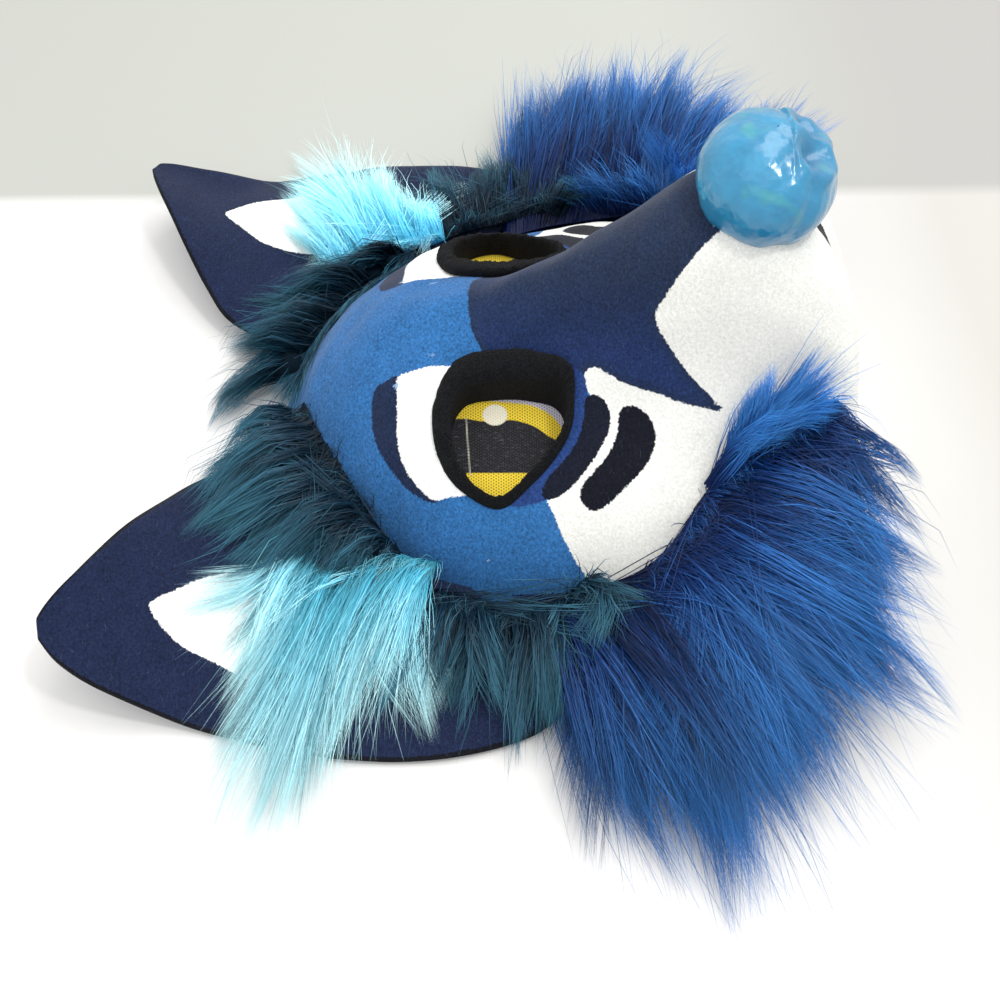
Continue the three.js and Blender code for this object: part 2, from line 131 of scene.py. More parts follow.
def make_piece(name, points, faces, finishes, stands_for, values=None, face_finish=None):
    mesh = bpy.data.meshes.new(name)
    mesh.vertices.add(len(points))
    mesh.vertices.foreach_set("co", to_frame(points).astype(np.float32).ravel())
    sizes = np.concatenate([np.full(len(group), group.shape[1]) for group in faces])
    corners = np.concatenate([group.ravel() for group in faces]).astype(np.int32)
    mesh.loops.add(len(corners))
    mesh.loops.foreach_set("vertex_index", corners)
    mesh.polygons.add(len(sizes))
    mesh.polygons.foreach_set("loop_start", (np.cumsum(sizes) - sizes).astype(np.int32))
    mesh.update(calc_edges=True)
    mesh.shade_smooth()
    for title, numbers in (values or {}).items():
        kept = mesh.attributes.new(title, "FLOAT", "POINT")
        kept.data.foreach_set("value", np.asarray(numbers, np.float32))
    for finish in finishes:
        mesh.materials.append(finish)
    if face_finish is not None:
        mesh.polygons.foreach_set("material_index", np.asarray(face_finish, np.int32))
    piece = bpy.data.objects.new(name, mesh)
    bpy.context.scene.collection.objects.link(piece)
    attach(piece, "root")
    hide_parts(*stands_for)
    triangles_made[name] = int((sizes - 2).sum())
    print(name, triangles_made[name], "triangles")


def net_faces(rows, columns, first=0, joined=False):
    i, j = np.meshgrid(np.arange(rows - 1), np.arange(columns if joined else columns - 1), indexing="ij")
    k = (j + 1) % columns
    low, high = i * columns, (i + 1) * columns
    quads = np.stack([low + j, low + k, high + k, high + j], axis=-1)
    return quads.reshape(-1, 4) + first


def flipped(faces):
    return faces[:, ::-1]


sides = {"right": 1, "left": -1}


def on_side(points, side):
    return points * [sides[side], 1, 1]


def on_side_faces(faces, side):
    return faces if side == "right" else flipped(faces)


def make_pair(name, points, faces, finish, stands_for, values=None):
    for side in sides:
        make_piece(f"{name}_{side}", on_side(points, side), [on_side_faces(group, side) for group in faces],
                   [finish], [f"{stands_for}_{side}"], values)


# %% [markdown]
# ## Finishes from nodes
# Every colour and every surface comes from shader nodes, so the mask needs no pictures. Small helpers keep
# the trees readable: one adds a node, some do arithmetic, and some mix colours. Colours are written as they
# look on a screen and changed to linear light.

# %% Node helpers


def linear(code):
    channels = [int(code[i:i + 2], 16) / 255 for i in (1, 3, 5)]
    return (*[((c + 0.055) / 1.055) ** 2.4 if c > 0.04045 else c / 12.92 for c in channels], 1.0)


def new_finish(title):
    finish = bpy.data.materials.new(title)
    finish.use_nodes = True
    finish.node_tree.nodes.clear()
    return finish, finish.node_tree


def add(tree, kind, inputs=None, **settings):
    made = tree.nodes.new("ShaderNode" + kind)
    for key, value in settings.items():
        setattr(made, key, value)
    for key, value in (inputs or {}).items():
        if isinstance(value, bpy.types.NodeSocket):
            tree.links.new(value, made.inputs[key])
        else:
            made.inputs[key].default_value = value
    return made


def calc(tree, operation, a, b=0.0, c=0.0, clamp=False):
    return add(tree, "Math", {0: a, 1: b, 2: c}, operation=operation, use_clamp=clamp).outputs[0]


def times(tree, value, factor):
    return calc(tree, "MULTIPLY", value, factor)


def ramp(tree, value, gain, shift):
    return calc(tree, "MULTIPLY_ADD", value, gain, shift, clamp=True)


def mix(tree, share, a, b):
    a, b = (linear(colour) if isinstance(colour, str) else colour for colour in (a, b))
    return add(tree, "Mix", {0: share, 6: a, 7: b}, data_type="RGBA").outputs[2]


def stained(tree, colour, share, strength, code):
    return mix(tree, times(tree, share, strength), colour, code)


def scaled_vector(tree, vector, factor):
    return add(tree, "VectorMath", {0: vector, "Scale": factor}, operation="SCALE").outputs[0]


def stretched(tree, place, scale):
    return add(tree, "Mapping", {0: place, 3: scale}).outputs[0]


def in_mm(tree):
    return scaled_vector(tree, add(tree, "TexCoord").outputs["Object"], mm_in_metre)


def noise(tree, place, scale, detail=2.0, rough=0.5, twist=0.0):
    made = add(tree, "TexNoise", {"Vector": place, "Scale": scale, "Detail": detail, "Roughness": rough,
                                  "Distortion": twist})
    return made.outputs[0]


def painted(tree, title):
    return add(tree, "Attribute", attribute_name=title).outputs["Fac"]


def bump(tree, height, strength, depth):
    return add(tree, "Bump", {"Height": height, "Strength": strength, "Distance": depth}).outputs[0]


def surface(tree, colour, rough, bumps, constants):
    shader = add(tree, "BsdfPrincipled", {"Base Color": colour, "Roughness": rough, **constants})
    if bumps is not None:
        tree.links.new(bumps, shader.inputs["Normal"])
        tree.links.new(bumps, shader.inputs["Coat Normal"])
    out = add(tree, "OutputMaterial")
    tree.links.new(shader.outputs[0], out.inputs[0])


# %% [markdown]
# ## Brushed felt
# The face and ears are craft felt that was brushed and then painted. Up close the felt has short fibres that
# lie in all directions, so its colour is speckled, its light is soft, and the paint frays a little at its
# edges. Each patch of paint is a value on the mesh: the distance inside its outline, in millimetres. Noise
# is added to that distance before it is cut off at zero, and that frays the edge. Pale paint is thick and
# hides most of the speckle. A tint is a thin glaze over all the layers.

# %% Felt finish
fray_mm = 2.08
edge_gain = 3.2
thick_paint = 0.7
pale_code = 200


def felt_finish(title, ground, layers, tint=None):
    finish, tree = new_finish(title)
    place = in_mm(tree)
    ragged = noise(tree, place, 1.1, 4.0, 0.65)
    shift = times(tree, calc(tree, "SUBTRACT", ragged, 0.5), fray_mm)
    colour, calm = ground, 0.0
    for attribute, code in layers:
        share = ramp(tree, calc(tree, "ADD", painted(tree, attribute), shift), edge_gain, 0.5)
        colour = mix(tree, share, colour, code)
        pale = thick_paint if int(code[1:3], 16) > pale_code else 0.0
        calm = add(tree, "Mix", {0: share, 2: calm, 3: pale}).outputs[0]
    if tint is not None:
        colour = stained(tree, colour, painted(tree, tint[0]), tint[2], tint[1])
    speck = noise(tree, place, 1.15, 4.0, 0.72)
    cloud = noise(tree, place, 0.09, 3.0, 0.55)
    nap = noise(tree, stretched(tree, place, (0.5, 1.7, 1.0)), 0.8, 3.0, 0.6, 0.6)
    light = calc(tree, "MULTIPLY_ADD", speck, 2.6, -0.53)
    light = calc(tree, "ADD", light, times(tree, cloud, 0.42))
    light = add(tree, "Mix", {0: calm, 2: light, 3: 1.0}).outputs[0]
    fibre = ramp(tree, nap, 5.0, -3.1)
    shaded = stained(tree, scaled_vector(tree, colour, light), fibre, 0.12, "#9fb0c8")
    height = calc(tree, "ADD", times(tree, speck, 0.55), times(tree, nap, 0.8))
    surface(tree, shaded, 0.92, bump(tree, height, 0.6, 0.0005),
            {"Sheen Weight": 0.16, "Sheen Roughness": 0.45, "Specular IOR Level": 0.12})
    return finish


# %% [markdown]
# ## The face's form
# The face is a loft: 18 cross sections from the forehead to the chin, each with a ridge, four points down
# the side and a half width at the rim. It is the same table as the solid's, on a much finer net, so the
# ridge, the eye sockets and the muzzle stay where the frame has them.

# %% Face table and net
face_columns = ["y", "sweep", "ridge", "x1", "z1", "x2", "z2", "x3", "z3", "x4", "z4", "half", "groove"]
face_sections = np.array([
    [92, -14, 0, 10, 0, 20, 0, 28, 0, 34, 0, 40, 0],
    [86, -16, 11, 12, 10.5, 24, 8, 36, 5, 44, 3, 51, 0],
    [78, -16, 24, 14, 22.5, 28, 17.5, 41, 11, 51, 5, 59, 0],
    [68, -14, 35, 14, 33, 28, 28, 43, 19, 56, 9, 66, 0],
    [56, -11, 45, 14, 42, 28, 36, 46, 26, 61, 13, 73, 0],
    [42, -6, 52, 12, 48.5, 26, 43, 46, 34, 66, 18, 79, 0],
    [27, -2, 56, 11, 52.5, 24, 46, 46, 37, 68, 21, 83, 0],
    [12, 0, 61.5, 10, 57, 21, 47.5, 44, 38, 68, 22, 86, 0],
    [-4, 1, 70, 11, 64.5, 21, 51, 42, 39.5, 70, 23, 90, 0],
    [-20, 2, 80, 13, 74.5, 23, 60, 40, 44, 71, 26, 94, 0],
    [-36, 3, 91, 15, 85.5, 25, 72, 39, 50, 70, 28, 96, 0],
    [-52, 5, 101, 16, 97, 26, 82, 38, 55, 68, 30, 97, 0],
    [-66, 8, 101, 18, 97, 28, 82, 39, 56, 67, 30, 96, 0],
    [-80, 12, 94, 18, 91, 29, 77, 39, 54, 65, 29, 93, 1],
    [-93, 15, 80, 17, 78, 29, 66, 39, 48, 63, 26, 90, 3],
    [-103, 17, 60, 16, 59, 29, 50, 39, 38, 61, 20, 86, 4],
    [-109, 18, 36, 15, 35.5, 28, 31, 39, 24, 60, 13, 82, 3],
    [-113, 18, 0, 14, 0, 28, 0, 41, 0, 60, 0, 78, 0],
], float)
groove_width = 6
wall_thickness = 3
side_spans = 5


def eased(before, start, end, after, f):
    leave, arrive = (end - before) / 2, (after - start) / 2
    cube = 2 * start - 2 * end + leave + arrive
    square = cube * f - 3 * start + 3 * end - 2 * leave - arrive
    return (square * f + leave) * f + start


def table_rows(table, places):
    last = len(table) - 1
    scaled = np.clip(places, 0, 1) * last
    index = np.minimum(scaled.astype(int), last - 1)
    padded_rows = np.vstack([table[:1], table, table[-1:]])
    around = [padded_rows[index + step] for step in range(4)]
    return eased(*around, (scaled - index)[:, None])


def face_net(along, across):
    rows = table_rows(face_sections, along)
    row = {title: rows[:, i][:, None] for i, title in enumerate(face_columns)}
    zero = row["y"] * 0
    x_side = np.hstack([-row["x1"], zero, row["x1"], row["x2"], row["x3"], row["x4"], row["half"]])
    z_side = np.hstack([row["z1"], row["ridge"], row["z1"], row["z2"], row["z3"], row["z4"], zero])
    x_side = np.hstack([x_side, 2 * x_side[:, -1:] - x_side[:, -2:-1]])
    z_side = np.hstack([z_side, 2 * z_side[:, -1:] - z_side[:, -2:-1]])
    scaled = np.minimum(np.abs(across) * side_spans, side_spans - 1e-9)
    index = scaled.astype(int)
    f = (scaled - index)[None, :]
    x = eased(*[x_side[:, index + step] for step in range(4)], f)
    z = np.maximum(eased(*[z_side[:, index + step] for step in range(4)], f), 0)
    y = row["y"] + row["sweep"] * (x / row["half"]) ** 2 + row["groove"] * np.exp(-(x / groove_width) ** 2)
    return np.stack([np.sign(across)[None, :] * x, y, z], axis=-1)


def net_normals(net):
    return unit(np.cross(np.gradient(net, axis=1), np.gradient(net, axis=0)))


face_rows, face_lanes = 196, 161
face = face_net(np.linspace(0, 1, face_rows), np.linspace(-1, 1, face_lanes))
face_out = -net_normals(face)
face_out *= np.where(face_out[..., 2:] < -0.2, -1, 1)
flat_face = face.reshape(-1, 3)
print("face net", face.shape, "mean outward z", round(float(face_out[..., 2].mean()), 2))

# %% [markdown]
# ## Patches of paint
# Each outline has its corners on the drawing sheet. The helper gives, for every point of a net, how far
# inside the outline it lies. Points of the other cheek are folded over first, so both sides match. The white
# of the cheek and the dark bridge share one edge, so its corners stand here once.

# %% Outlines on the drawing sheet
shared_edge = [(735, 215), (718, 232), (700, 250), (680, 275), (663, 300), (655, 313), (657, 325), (667, 343),
               (690, 375), (724, 412), (705, 408), (680, 402), (657, 393), (638, 388), (619, 380), (604, 371),
               (594, 367), (586, 370), (583, 378)]
outlines = {
    "white": shared_edge + [(588, 392), (598, 415), (592, 455), (560, 494), (546, 501), (553, 512),
                            (561, 533), (575, 560), (590, 585), (600, 640), (640, 900), (1000, 900),
                            (1200, 300), (900, 60), (770, 120)],
    "bridge": [(488, 370), (482, 352), (472, 330), (469, 315), (468, 300), (474, 284), (480, 240), (560, 140),
               (700, 60), (780, 120)] + shared_edge + [(572, 385), (560, 380), (530, 368)],
    "band": [(583, 374), (588, 397), (590, 414), (587, 430), (581, 446), (570, 462), (558, 477), (549, 490),
             (547, 499), (529, 505), (514, 507), (504, 503), (495, 501), (510, 480), (540, 445), (556, 410),
             (560, 380), (572, 368)],
    "stroke_near": [(586, 396), (596, 395), (606, 403), (610, 414), (609, 430), (600, 449), (588, 468),
                    (575, 483), (560, 496), (548, 500), (542, 496), (543, 487), (552, 473), (564, 460),
                    (575, 445), (581, 430), (584, 414)],
    "stroke_far": [(629, 405), (638, 408), (648, 416), (654, 426), (656, 439), (652, 454), (644, 468),
                   (632, 481), (619, 494), (606, 506), (592, 511), (584, 505), (580, 496), (583, 485),
                   (594, 472), (606, 458), (614, 443), (618, 428), (619, 414), (623, 407)],
    "crescent": [(398, 378), (397, 397), (397, 416), (397, 437), (400, 456), (407, 472), (418, 487),
                 (434, 500), (451, 497), (470, 493), (460, 475), (450, 450), (446, 430), (446, 400),
                 (456, 380), (462, 368), (447, 366), (434, 366), (414, 371)],
    "stroke_brow": [(398, 376), (386, 381), (376, 387), (372, 398), (371, 415), (373, 432), (378, 447),
                    (386, 462), (397, 478), (408, 490), (420, 498), (433, 503), (440, 500), (424, 488),
                    (412, 470), (405, 450), (402, 430), (402, 405), (404, 385)],
    "ear_white": [(149, 605), (157, 598), (175, 590), (195, 581), (215, 575), (250, 572), (285, 577),
                  (340, 600), (360, 640), (340, 680), (280, 686), (250, 680), (215, 663), (180, 645),
                  (162, 627)],
}
curve_steps = 6
far_off = 1e9


def folded_sheet(points):
    return on_sheet(np.abs(points[:, :1]) * [-1, 0, 0] + points * [0, 1, 1])


def is_inside(spots, line):
    crossings = np.zeros(len(spots), int)
    for a, b in zip(line, np.roll(line, -1, axis=0)):
        if a[1] != b[1]:
            reach = a[0] + (spots[:, 1] - a[1]) * (b[0] - a[0]) / (b[1] - a[1])
            crossings += ((a[1] > spots[:, 1]) != (b[1] > spots[:, 1])) & (spots[:, 0] < reach)
    return crossings % 2 == 1


def inside_mm(points, corners):
    sheet, unit_mm = folded_sheet(points)
    places = np.linspace(0, 1, len(corners) * curve_steps, endpoint=False)
    line = on_curve(corners, places, closed=True)
    nearest = np.full(len(sheet), far_off)
    for a, b in zip(line, np.roll(line, -1, axis=0)):
        run = b - a
        f = np.clip(((sheet - a) @ run) / max(run @ run, 1e-9), 0, 1)
        nearest = np.minimum(nearest, np.hypot(*(sheet - a - f[:, None] * run).T))
    return np.where(is_inside(sheet, line), nearest, -nearest) * unit_mm


def fleck_mm(points, centre, half_long, half_wide):
    sheet, unit_mm = folded_sheet(points)
    away = np.hypot((sheet[:, 0] - centre[0]) / half_long, (sheet[:, 1] - centre[1]) / half_wide)
    return (1 - away) * half_wide * unit_mm


# %% [markdown]
# ## Eyes in plan
# The opening of each eye is a rounded triangle with a black rim of changing width: wide towards the forehead
# and very thin towards the cheek. Each corner has its place and the rim's width there, as in the solid.
# Heights are read off the face's net from the nearest points around the eyes.

# %% Eye outline
eye_corners = np.array([
    [-28, -6, 5], [-27, 4, 8.5], [-27, 14, 9.3], [-28.5, 23, 9], [-34, 28, 6.5], [-43, 28.5, 6],
    [-52, 26, 4.5], [-58.5, 20, 2.8], [-60.5, 13, 2.6], [-55, 4.5, 2.6], [-48, -3, 2.6], [-41, -7.5, 2.6],
    [-33, -8.5, 2.6],
], float)
rim_steps = 156
eye_ring = on_curve(eye_corners, np.arange(rim_steps) / rim_steps, closed=True)
eye_tangent = np.roll(eye_ring, -1, axis=0)[:, :2] - np.roll(eye_ring, 1, axis=0)[:, :2]
eye_away = unit(np.stack([eye_tangent[:, 1], -eye_tangent[:, 0]], axis=1))
mesh_centre_x, mesh_centre_z = -43, 27
mesh_slope = np.tan(np.radians(21))
zone_half, zone_low, zone_high = 75, -30, 55
points_around = 4


def eye_plan(grow):
    return eye_ring[:, :2] + eye_away * np.broadcast_to(grow, (rim_steps,))[:, None]


def outside_eye_mm(x, y):
    spots = np.stack([-np.abs(x), y], axis=1)
    nearest = np.full(len(spots), far_off)
    for corner in eye_ring[:, :2]:
        nearest = np.minimum(nearest, np.hypot(*(spots - corner).T))
    return np.where(is_inside(spots, eye_ring[:, :2]), -nearest, nearest)


def mesh_height(x):
    return mesh_centre_z + (x - mesh_centre_x) * mesh_slope


def face_height(x, y):
    in_zone = (np.abs(flat_face[:, 0]) < zone_half) & (flat_face[:, 1] > zone_low)
    near = flat_face[in_zone & (flat_face[:, 1] < zone_high)]
    found = np.empty(len(x))
    for i, (a, b) in enumerate(zip(x, y)):
        away = (near[:, 0] - a) ** 2 + (near[:, 1] - b) ** 2
        closest = np.argpartition(away, points_around)[:points_around]
        weight = 1 / (away[closest] + 0.05)
        found[i] = (near[closest, 2] * weight).sum() / weight.sum()
    return found


print("eye opening", np.ptp(eye_ring[:, 0]).round(1), "by", np.ptp(eye_ring[:, 1]).round(1), "mm")

# %% [markdown]
# ## Face shell
# The real shell is a rigid base with felt glued over it, so its surface is nearly smooth, with slow lumps
# under the cloth. The outer net gets those lumps, the inner net lies one wall thickness below, and a strip
# along the rim joins the two. The inner net and the strip are painted near black, as painted shade for the
# inside of the mask. The cells over the eyes are left out. White runs a little under the edge of the
# bridge, so that no blue ground shows between the two, and the low part of the bridge gets an indigo glaze.

# %% Build the face shell
eye_margin = 1.3
no_paint = -9
x, y, z = np.moveaxis(face, -1, 0)
lumps = 0.35 * (np.sin(x * 0.16 + y * 0.11) * np.sin(y * 0.13 - z * 0.09)
                + 0.6 * np.sin(x * 0.31 - z * 0.22 + 1.3) * np.sin(y * 0.27))
rim_fade = np.clip(z / 12, 0, 1)
felt_skin = face + face_out * (lumps * rim_fade)[..., None]
lining = face - face_out * wall_thickness
lining[..., 2] = np.maximum(lining[..., 2], 0)
face_points = np.concatenate([felt_skin.reshape(-1, 3), lining.reshape(-1, 3)])
cells = net_faces(face_rows, face_lanes)
middle = flat_face[cells].mean(axis=1)
kept_cells = cells[outside_eye_mm(middle[:, 0], middle[:, 1]) > eye_margin]
lining_start = face_rows * face_lanes
numbers = np.arange(face_rows * face_lanes).reshape(face_rows, face_lanes)
edge_loop = np.concatenate([numbers[0], numbers[1:, -1], numbers[-1, -2::-1], numbers[-2:0:-1, 0]])
edge_next = np.roll(edge_loop, -1)
rim_strip = np.stack([edge_next, edge_loop, edge_loop + lining_start, edge_next + lining_start], axis=1)

x, y, z = flat_face.T
paint = {title: inside_mm(flat_face, outlines[title]) for title in
         ("white", "bridge", "band", "stroke_near", "stroke_far", "crescent", "stroke_brow")}
under_bridge = np.minimum(paint["bridge"] + 1.5, paint["white"] + 2.0)
paint["white"] = np.maximum(paint["white"], under_bridge)
lip_taper = 3.2 - np.clip((88 - z) / 45, 0, 1) * 2.7
paint["lip_line"] = np.where((y < -84) & (z > 34), lip_taper - np.abs(x), no_paint)
flecks = [((431, 355), 4, 1.2), ((489, 560), 2, 1.2), ((713, 225), 1.6, 1.6), ((396, 386), 3, 3)]
paint["flecks"] = np.max([fleck_mm(flat_face, *fleck) for fleck in flecks], axis=0)
low_on_bridge = np.clip((folded_sheet(flat_face)[0][:, 1] - 280) / 70, 0, 1)
paint["indigo"] = low_on_bridge * np.clip(paint["bridge"] / 3, 0, 1)
unpainted = np.full(len(flat_face), no_paint)
face_values = {title: np.concatenate([depth, unpainted]) for title, depth in paint.items()}

face_felt = felt_finish("face_felt", "#326ca8", [
    ("white", "#f1f1ec"), ("bridge", "#222f49"), ("band", "#2a4580"), ("stroke_brow", "#1d2a48"),
    ("crescent", "#fbfbf9"), ("stroke_near", "#181c2a"), ("stroke_far", "#151722"), ("lip_line", "#15151a"),
    ("flecks", "#8aa9cf"),
], tint=("indigo", "#1f3a80", 0.3))
# Painted shade: the inside of the shell and its rim strip are near black, for the shade under the mask.
inside_shade, tree = new_finish("inside_shade")
weave = noise(tree, in_mm(tree), 1.3, 3.0)
inside_shade_colour = mix(tree, weave, "#1c1d22", "#2c2d33")
surface(tree, inside_shade_colour, 0.85, bump(tree, weave, 0.3, 0.0004), {"Specular IOR Level": 0.3})
face_faces = [kept_cells, flipped(kept_cells) + lining_start, rim_strip]
is_lining = np.repeat([0, 1, 1], [len(group) for group in face_faces])
make_piece("face_cover", face_points, face_faces, [face_felt, inside_shade], ["face_shell"],
           face_values, is_lining)

# %% [markdown]
# ## Eye rims
# Each rim is a ring of foam under black felt. Its section is a low crown that lies on the face, a rounded
# lip, and a wall that goes down to the printed eye. Sweeping that section round the outline is enough. Where
# the rim is wide its crown is taller, and the wall leans back under it. A coarse bump and a little
# unevenness give the worn felt its fuzzy look.

# %% Build the rims
rim_section = [
    (0.0, 2.0), (0.12, 2.9), (0.3, 3.35), (0.5, 3.4), (0.7, 3.2), (0.86, 2.75), (0.96, 1.9), (1.0, 1.0),
    (1.0, 0.35),
]
wall_shares = (0.3, 0.6, 0.85)
undercut_mm = 2.4
extra_height = 0.45


def rim_net():
    wide = np.clip((eye_ring[:, 2] - 5) / 4, 0, 1)
    floor_line = eye_plan(wide * undercut_mm)
    low = np.column_stack([floor_line, mesh_height(floor_line[:, 0]) + 0.3])
    high = np.column_stack([eye_plan(0), face_height(*eye_plan(0.35).T) + 1.6])
    rings = [low] + [low * (1 - share) + high * share for share in wall_shares]
    for out, rise in rim_section:
        plan = eye_plan(out * eye_ring[:, 2])
        rings.append(np.column_stack([plan, face_height(*plan.T) + rise * (1 + extra_height * wide)]))
    return np.stack(rings)


rim = rim_net()
ripple = 0.22 * np.sin(np.arange(rim_steps) * 0.9) * np.sin(np.arange(rim_steps) * 0.37 + 1)
rim[5:11, :, 2] += ripple
fuzz = np.random.default_rng(5).normal(0, 0.16, rim[4:12].shape)
rim[4:12] += fuzz
rim_black, tree = new_finish("rim_black")
place = in_mm(tree)
tuft = noise(tree, place, 1.8, 4.0, 0.7)
wear = ramp(tree, noise(tree, place, 0.35, 3.0), 4.0, -2.2)
rim_colour = mix(tree, ramp(tree, tuft, 3.4, -1.35), "#010102", "#25272d")
rim_colour = stained(tree, rim_colour, wear, 0.35, "#2a2b2f")
surface(tree, rim_colour, 0.9, bump(tree, tuft, 1.0, 0.0016),
        {"Sheen Weight": 0.04, "Sheen Roughness": 0.5, "Specular IOR Level": 0.1})
make_pair("eye_rim_cover", rim.reshape(-1, 3), [net_faces(*rim.shape[:2], joined=True)], rim_black, "eye_rim")

# %% [markdown]
# ## Printed eyes
# Behind each rim is a sheet of open mesh with the eye printed on it: the wearer looks out through its holes.
# The print is a yellow iris with a black pupil, a pale lid above and one round glint. A flat net over the
# tilted sheet carries those shapes as painted values. The nodes draw the holes, painted in the dark colours
# of the shade behind the sheet, and add pale streaks of painted glare over the pupil.

# %% Build the printed eyes
print_outlines = {
    "iris": [(430, 403), (455, 403), (470, 401), (487, 401), (514, 403), (533, 406), (552, 416), (562, 428),
             (590, 470), (560, 540), (440, 540), (420, 470)],
    "pupil": [(440, 421), (455, 419), (467, 419), (480, 421), (496, 422), (510, 420), (525, 423), (537, 428),
              (548, 436), (556, 441), (558, 457), (546, 474), (524, 473), (500, 473), (472, 473), (455, 473),
              (440, 470)],
}
eye_lanes = 84
print_margin = 3.2
print_thickness = 0.8
corner_low, corner_high = eye_ring[:, :2].min(0) - 4, eye_ring[:, :2].max(0) + 4
grid_x, grid_y = np.meshgrid(*np.linspace(corner_low, corner_high, eye_lanes).T, indexing="ij")
print_points = np.column_stack([grid_x.ravel(), grid_y.ravel(), mesh_height(grid_x.ravel())])
print_cells = net_faces(eye_lanes, eye_lanes)
print_middle = print_points[print_cells].mean(axis=1)
print_cells = print_cells[outside_eye_mm(print_middle[:, 0], print_middle[:, 1]) < print_margin]
print_values = {title: inside_mm(print_points, corners) for title, corners in print_outlines.items()}
print_sheet = on_sheet(print_points)[0]
print_values["glint"] = fleck_mm(print_points, (495, 415), 12.5, 10.5)
slant = (print_sheet[:, 1] - 419) * 0.075
print_values["seam"] = np.where((print_sheet[:, 1] > 417) & (print_sheet[:, 1] < 476),
                                0.26 - np.abs(print_sheet[:, 0] - 466 - slant) * 0.35, -5)

eye_print, tree = new_finish("eye_print")
place = in_mm(tree)
pitch = 0.95
row_ratio = 1.732
grid_start = 500.0
print_gain = 2.4


def vector(operation, *inputs):
    return add(tree, "VectorMath", dict(enumerate(inputs)), operation=operation).outputs


def dots(shift_x, shift_y):
    moved = vector("ADD", place, (grid_start + shift_x, grid_start + shift_y, 0.0))[0]
    scaled = vector("MULTIPLY", moved, (1 / pitch, 1 / (pitch * row_ratio), 0.0))[0]
    centred = vector("SUBTRACT", vector("FRACTION", scaled)[0], (0.5, 0.5, 0.0))[0]
    return vector("LENGTH", vector("MULTIPLY", centred, (pitch, pitch * row_ratio, 0.0))[0])["Value"]


hole = calc(tree, "MINIMUM", dots(0, 0), dots(pitch / 2, pitch * row_ratio / 2))
open_share = ramp(tree, hole, -9.0, 2.7)
# Painted glare: pale streaks over the black pupil stand for light caught on the mesh.
pupil_glare = ramp(tree, noise(tree, stretched(tree, place, (1.6, 0.35, 1.0)), 1.1, 4.0, 0.7, 1.6), 9.0, -5.0)
printed = "#d6d0e0"
for title, code in (("iris", "#fddc3a"), ("pupil", "#0d0d10"), ("glint", "#fbf4dc"), ("seam", "#d9d4c4")):
    share = ramp(tree, painted(tree, title), print_gain, 0.5)
    top = stained(tree, code, pupil_glare, 0.5, "#77778a") if title == "pupil" else code
    printed = mix(tree, share, printed, top)
# Painted shade: each hole shows the dark inside of the mask, less dark under the printed glint.
glow = ramp(tree, painted(tree, "glint"), 1.2, 0.4)
in_pupil = ramp(tree, painted(tree, "pupil"), print_gain, 0.5)
hole_shade = calc(tree, "MULTIPLY", open_share, calc(tree, "MULTIPLY_ADD", glow, -0.5, 0.7))
printed = mix(tree, hole_shade, printed, mix(tree, in_pupil, "#2b2510", "#34343d"))
surface(tree, printed, 0.7, bump(tree, hole, 0.5, 0.0004), {"Specular IOR Level": 0.3, "Sheen Weight": 0.1})
both_points = np.concatenate([print_points, print_points - [0, 0, print_thickness]])
both_faces = [flipped(print_cells), print_cells + len(print_points)]
both_values = {title: np.tile(depth, 2) for title, depth in print_values.items()}
make_pair("eye_print", both_points, both_faces, eye_print, "eye_mesh", both_values)

# %% [markdown]
# ## Nose
# The nose is a lump of modelling clay, pushed into shape with fingers, painted and varnished. It starts as a
# ball with unequal radii. Hollows are pushed in for the nostrils, a crease runs from each nostril to the
# base, and slow lumps keep it from looking turned on a lathe. Shade is painted into those hollows and over
# the lower part of the nose.

# %% Build the nose
nose_centre = np.array([0, -66, 105])
nose_radii = np.array([23, 20.5, 18])
nose_rings, nose_lanes = 110, 150
pole_gap = 0.01
nostril_place = [6.0, -11.5, 15.5]
dent_place = [0.0, -18.5, 7.0]
crease_corners = [(6.5, -10, 16.5), (12, -10.5, 13.5), (16.5, -8.5, 8), (19, -6, 0), (18.5, -3, -8)]


def hollow(away, depth, reach):
    return depth * np.exp(-(away / reach) ** 2)


tilt_angle, turn_angle = np.meshgrid(np.linspace(pole_gap, np.pi - pole_gap, nose_rings),
                                     np.linspace(0, 2 * np.pi, nose_lanes, endpoint=False), indexing="ij")
ball = np.stack([np.sin(tilt_angle) * np.cos(turn_angle), np.sin(tilt_angle) * np.sin(turn_angle),
                 np.cos(tilt_angle)], axis=-1)
nose = ball * nose_radii
x, y, z = np.moveaxis(nose, -1, 0)
mirrored_nose = np.stack([np.abs(x), y, z], axis=-1)
crease_line = on_curve(crease_corners, np.linspace(0, 1, 40))
to_crease = np.min([np.linalg.norm(mirrored_nose - spot, axis=-1) for spot in crease_line], axis=0)
to_nostril = np.linalg.norm(mirrored_nose - nostril_place, axis=-1)
to_dent = np.linalg.norm(mirrored_nose - dent_place, axis=-1)
press = hollow(to_nostril, 3.6, 5.4) + hollow(to_crease, 1.3, 2.6)
press += hollow(to_dent, 1.6, 4.0)
swell = hollow(to_nostril - 8.5, 1.1, 3.0) * (y < -4)
slow = 0.5 * np.sin(x * 0.23 + 1) * np.sin(y * 0.31 + z * 0.17)
slow += 0.16 * np.sin(x * 0.7) * np.sin(y * 0.83 + z * 0.5)
nose = nose + unit(ball / nose_radii) * (swell + slow - press)[..., None] + nose_centre
# The first value marks the hollows and the second grows towards the bottom; both carry painted shade.
nose_values = {"hollow_shade": (press / 4.0).ravel(), "low": np.clip((112 - nose[..., 2]) / 22, 0, 1).ravel()}

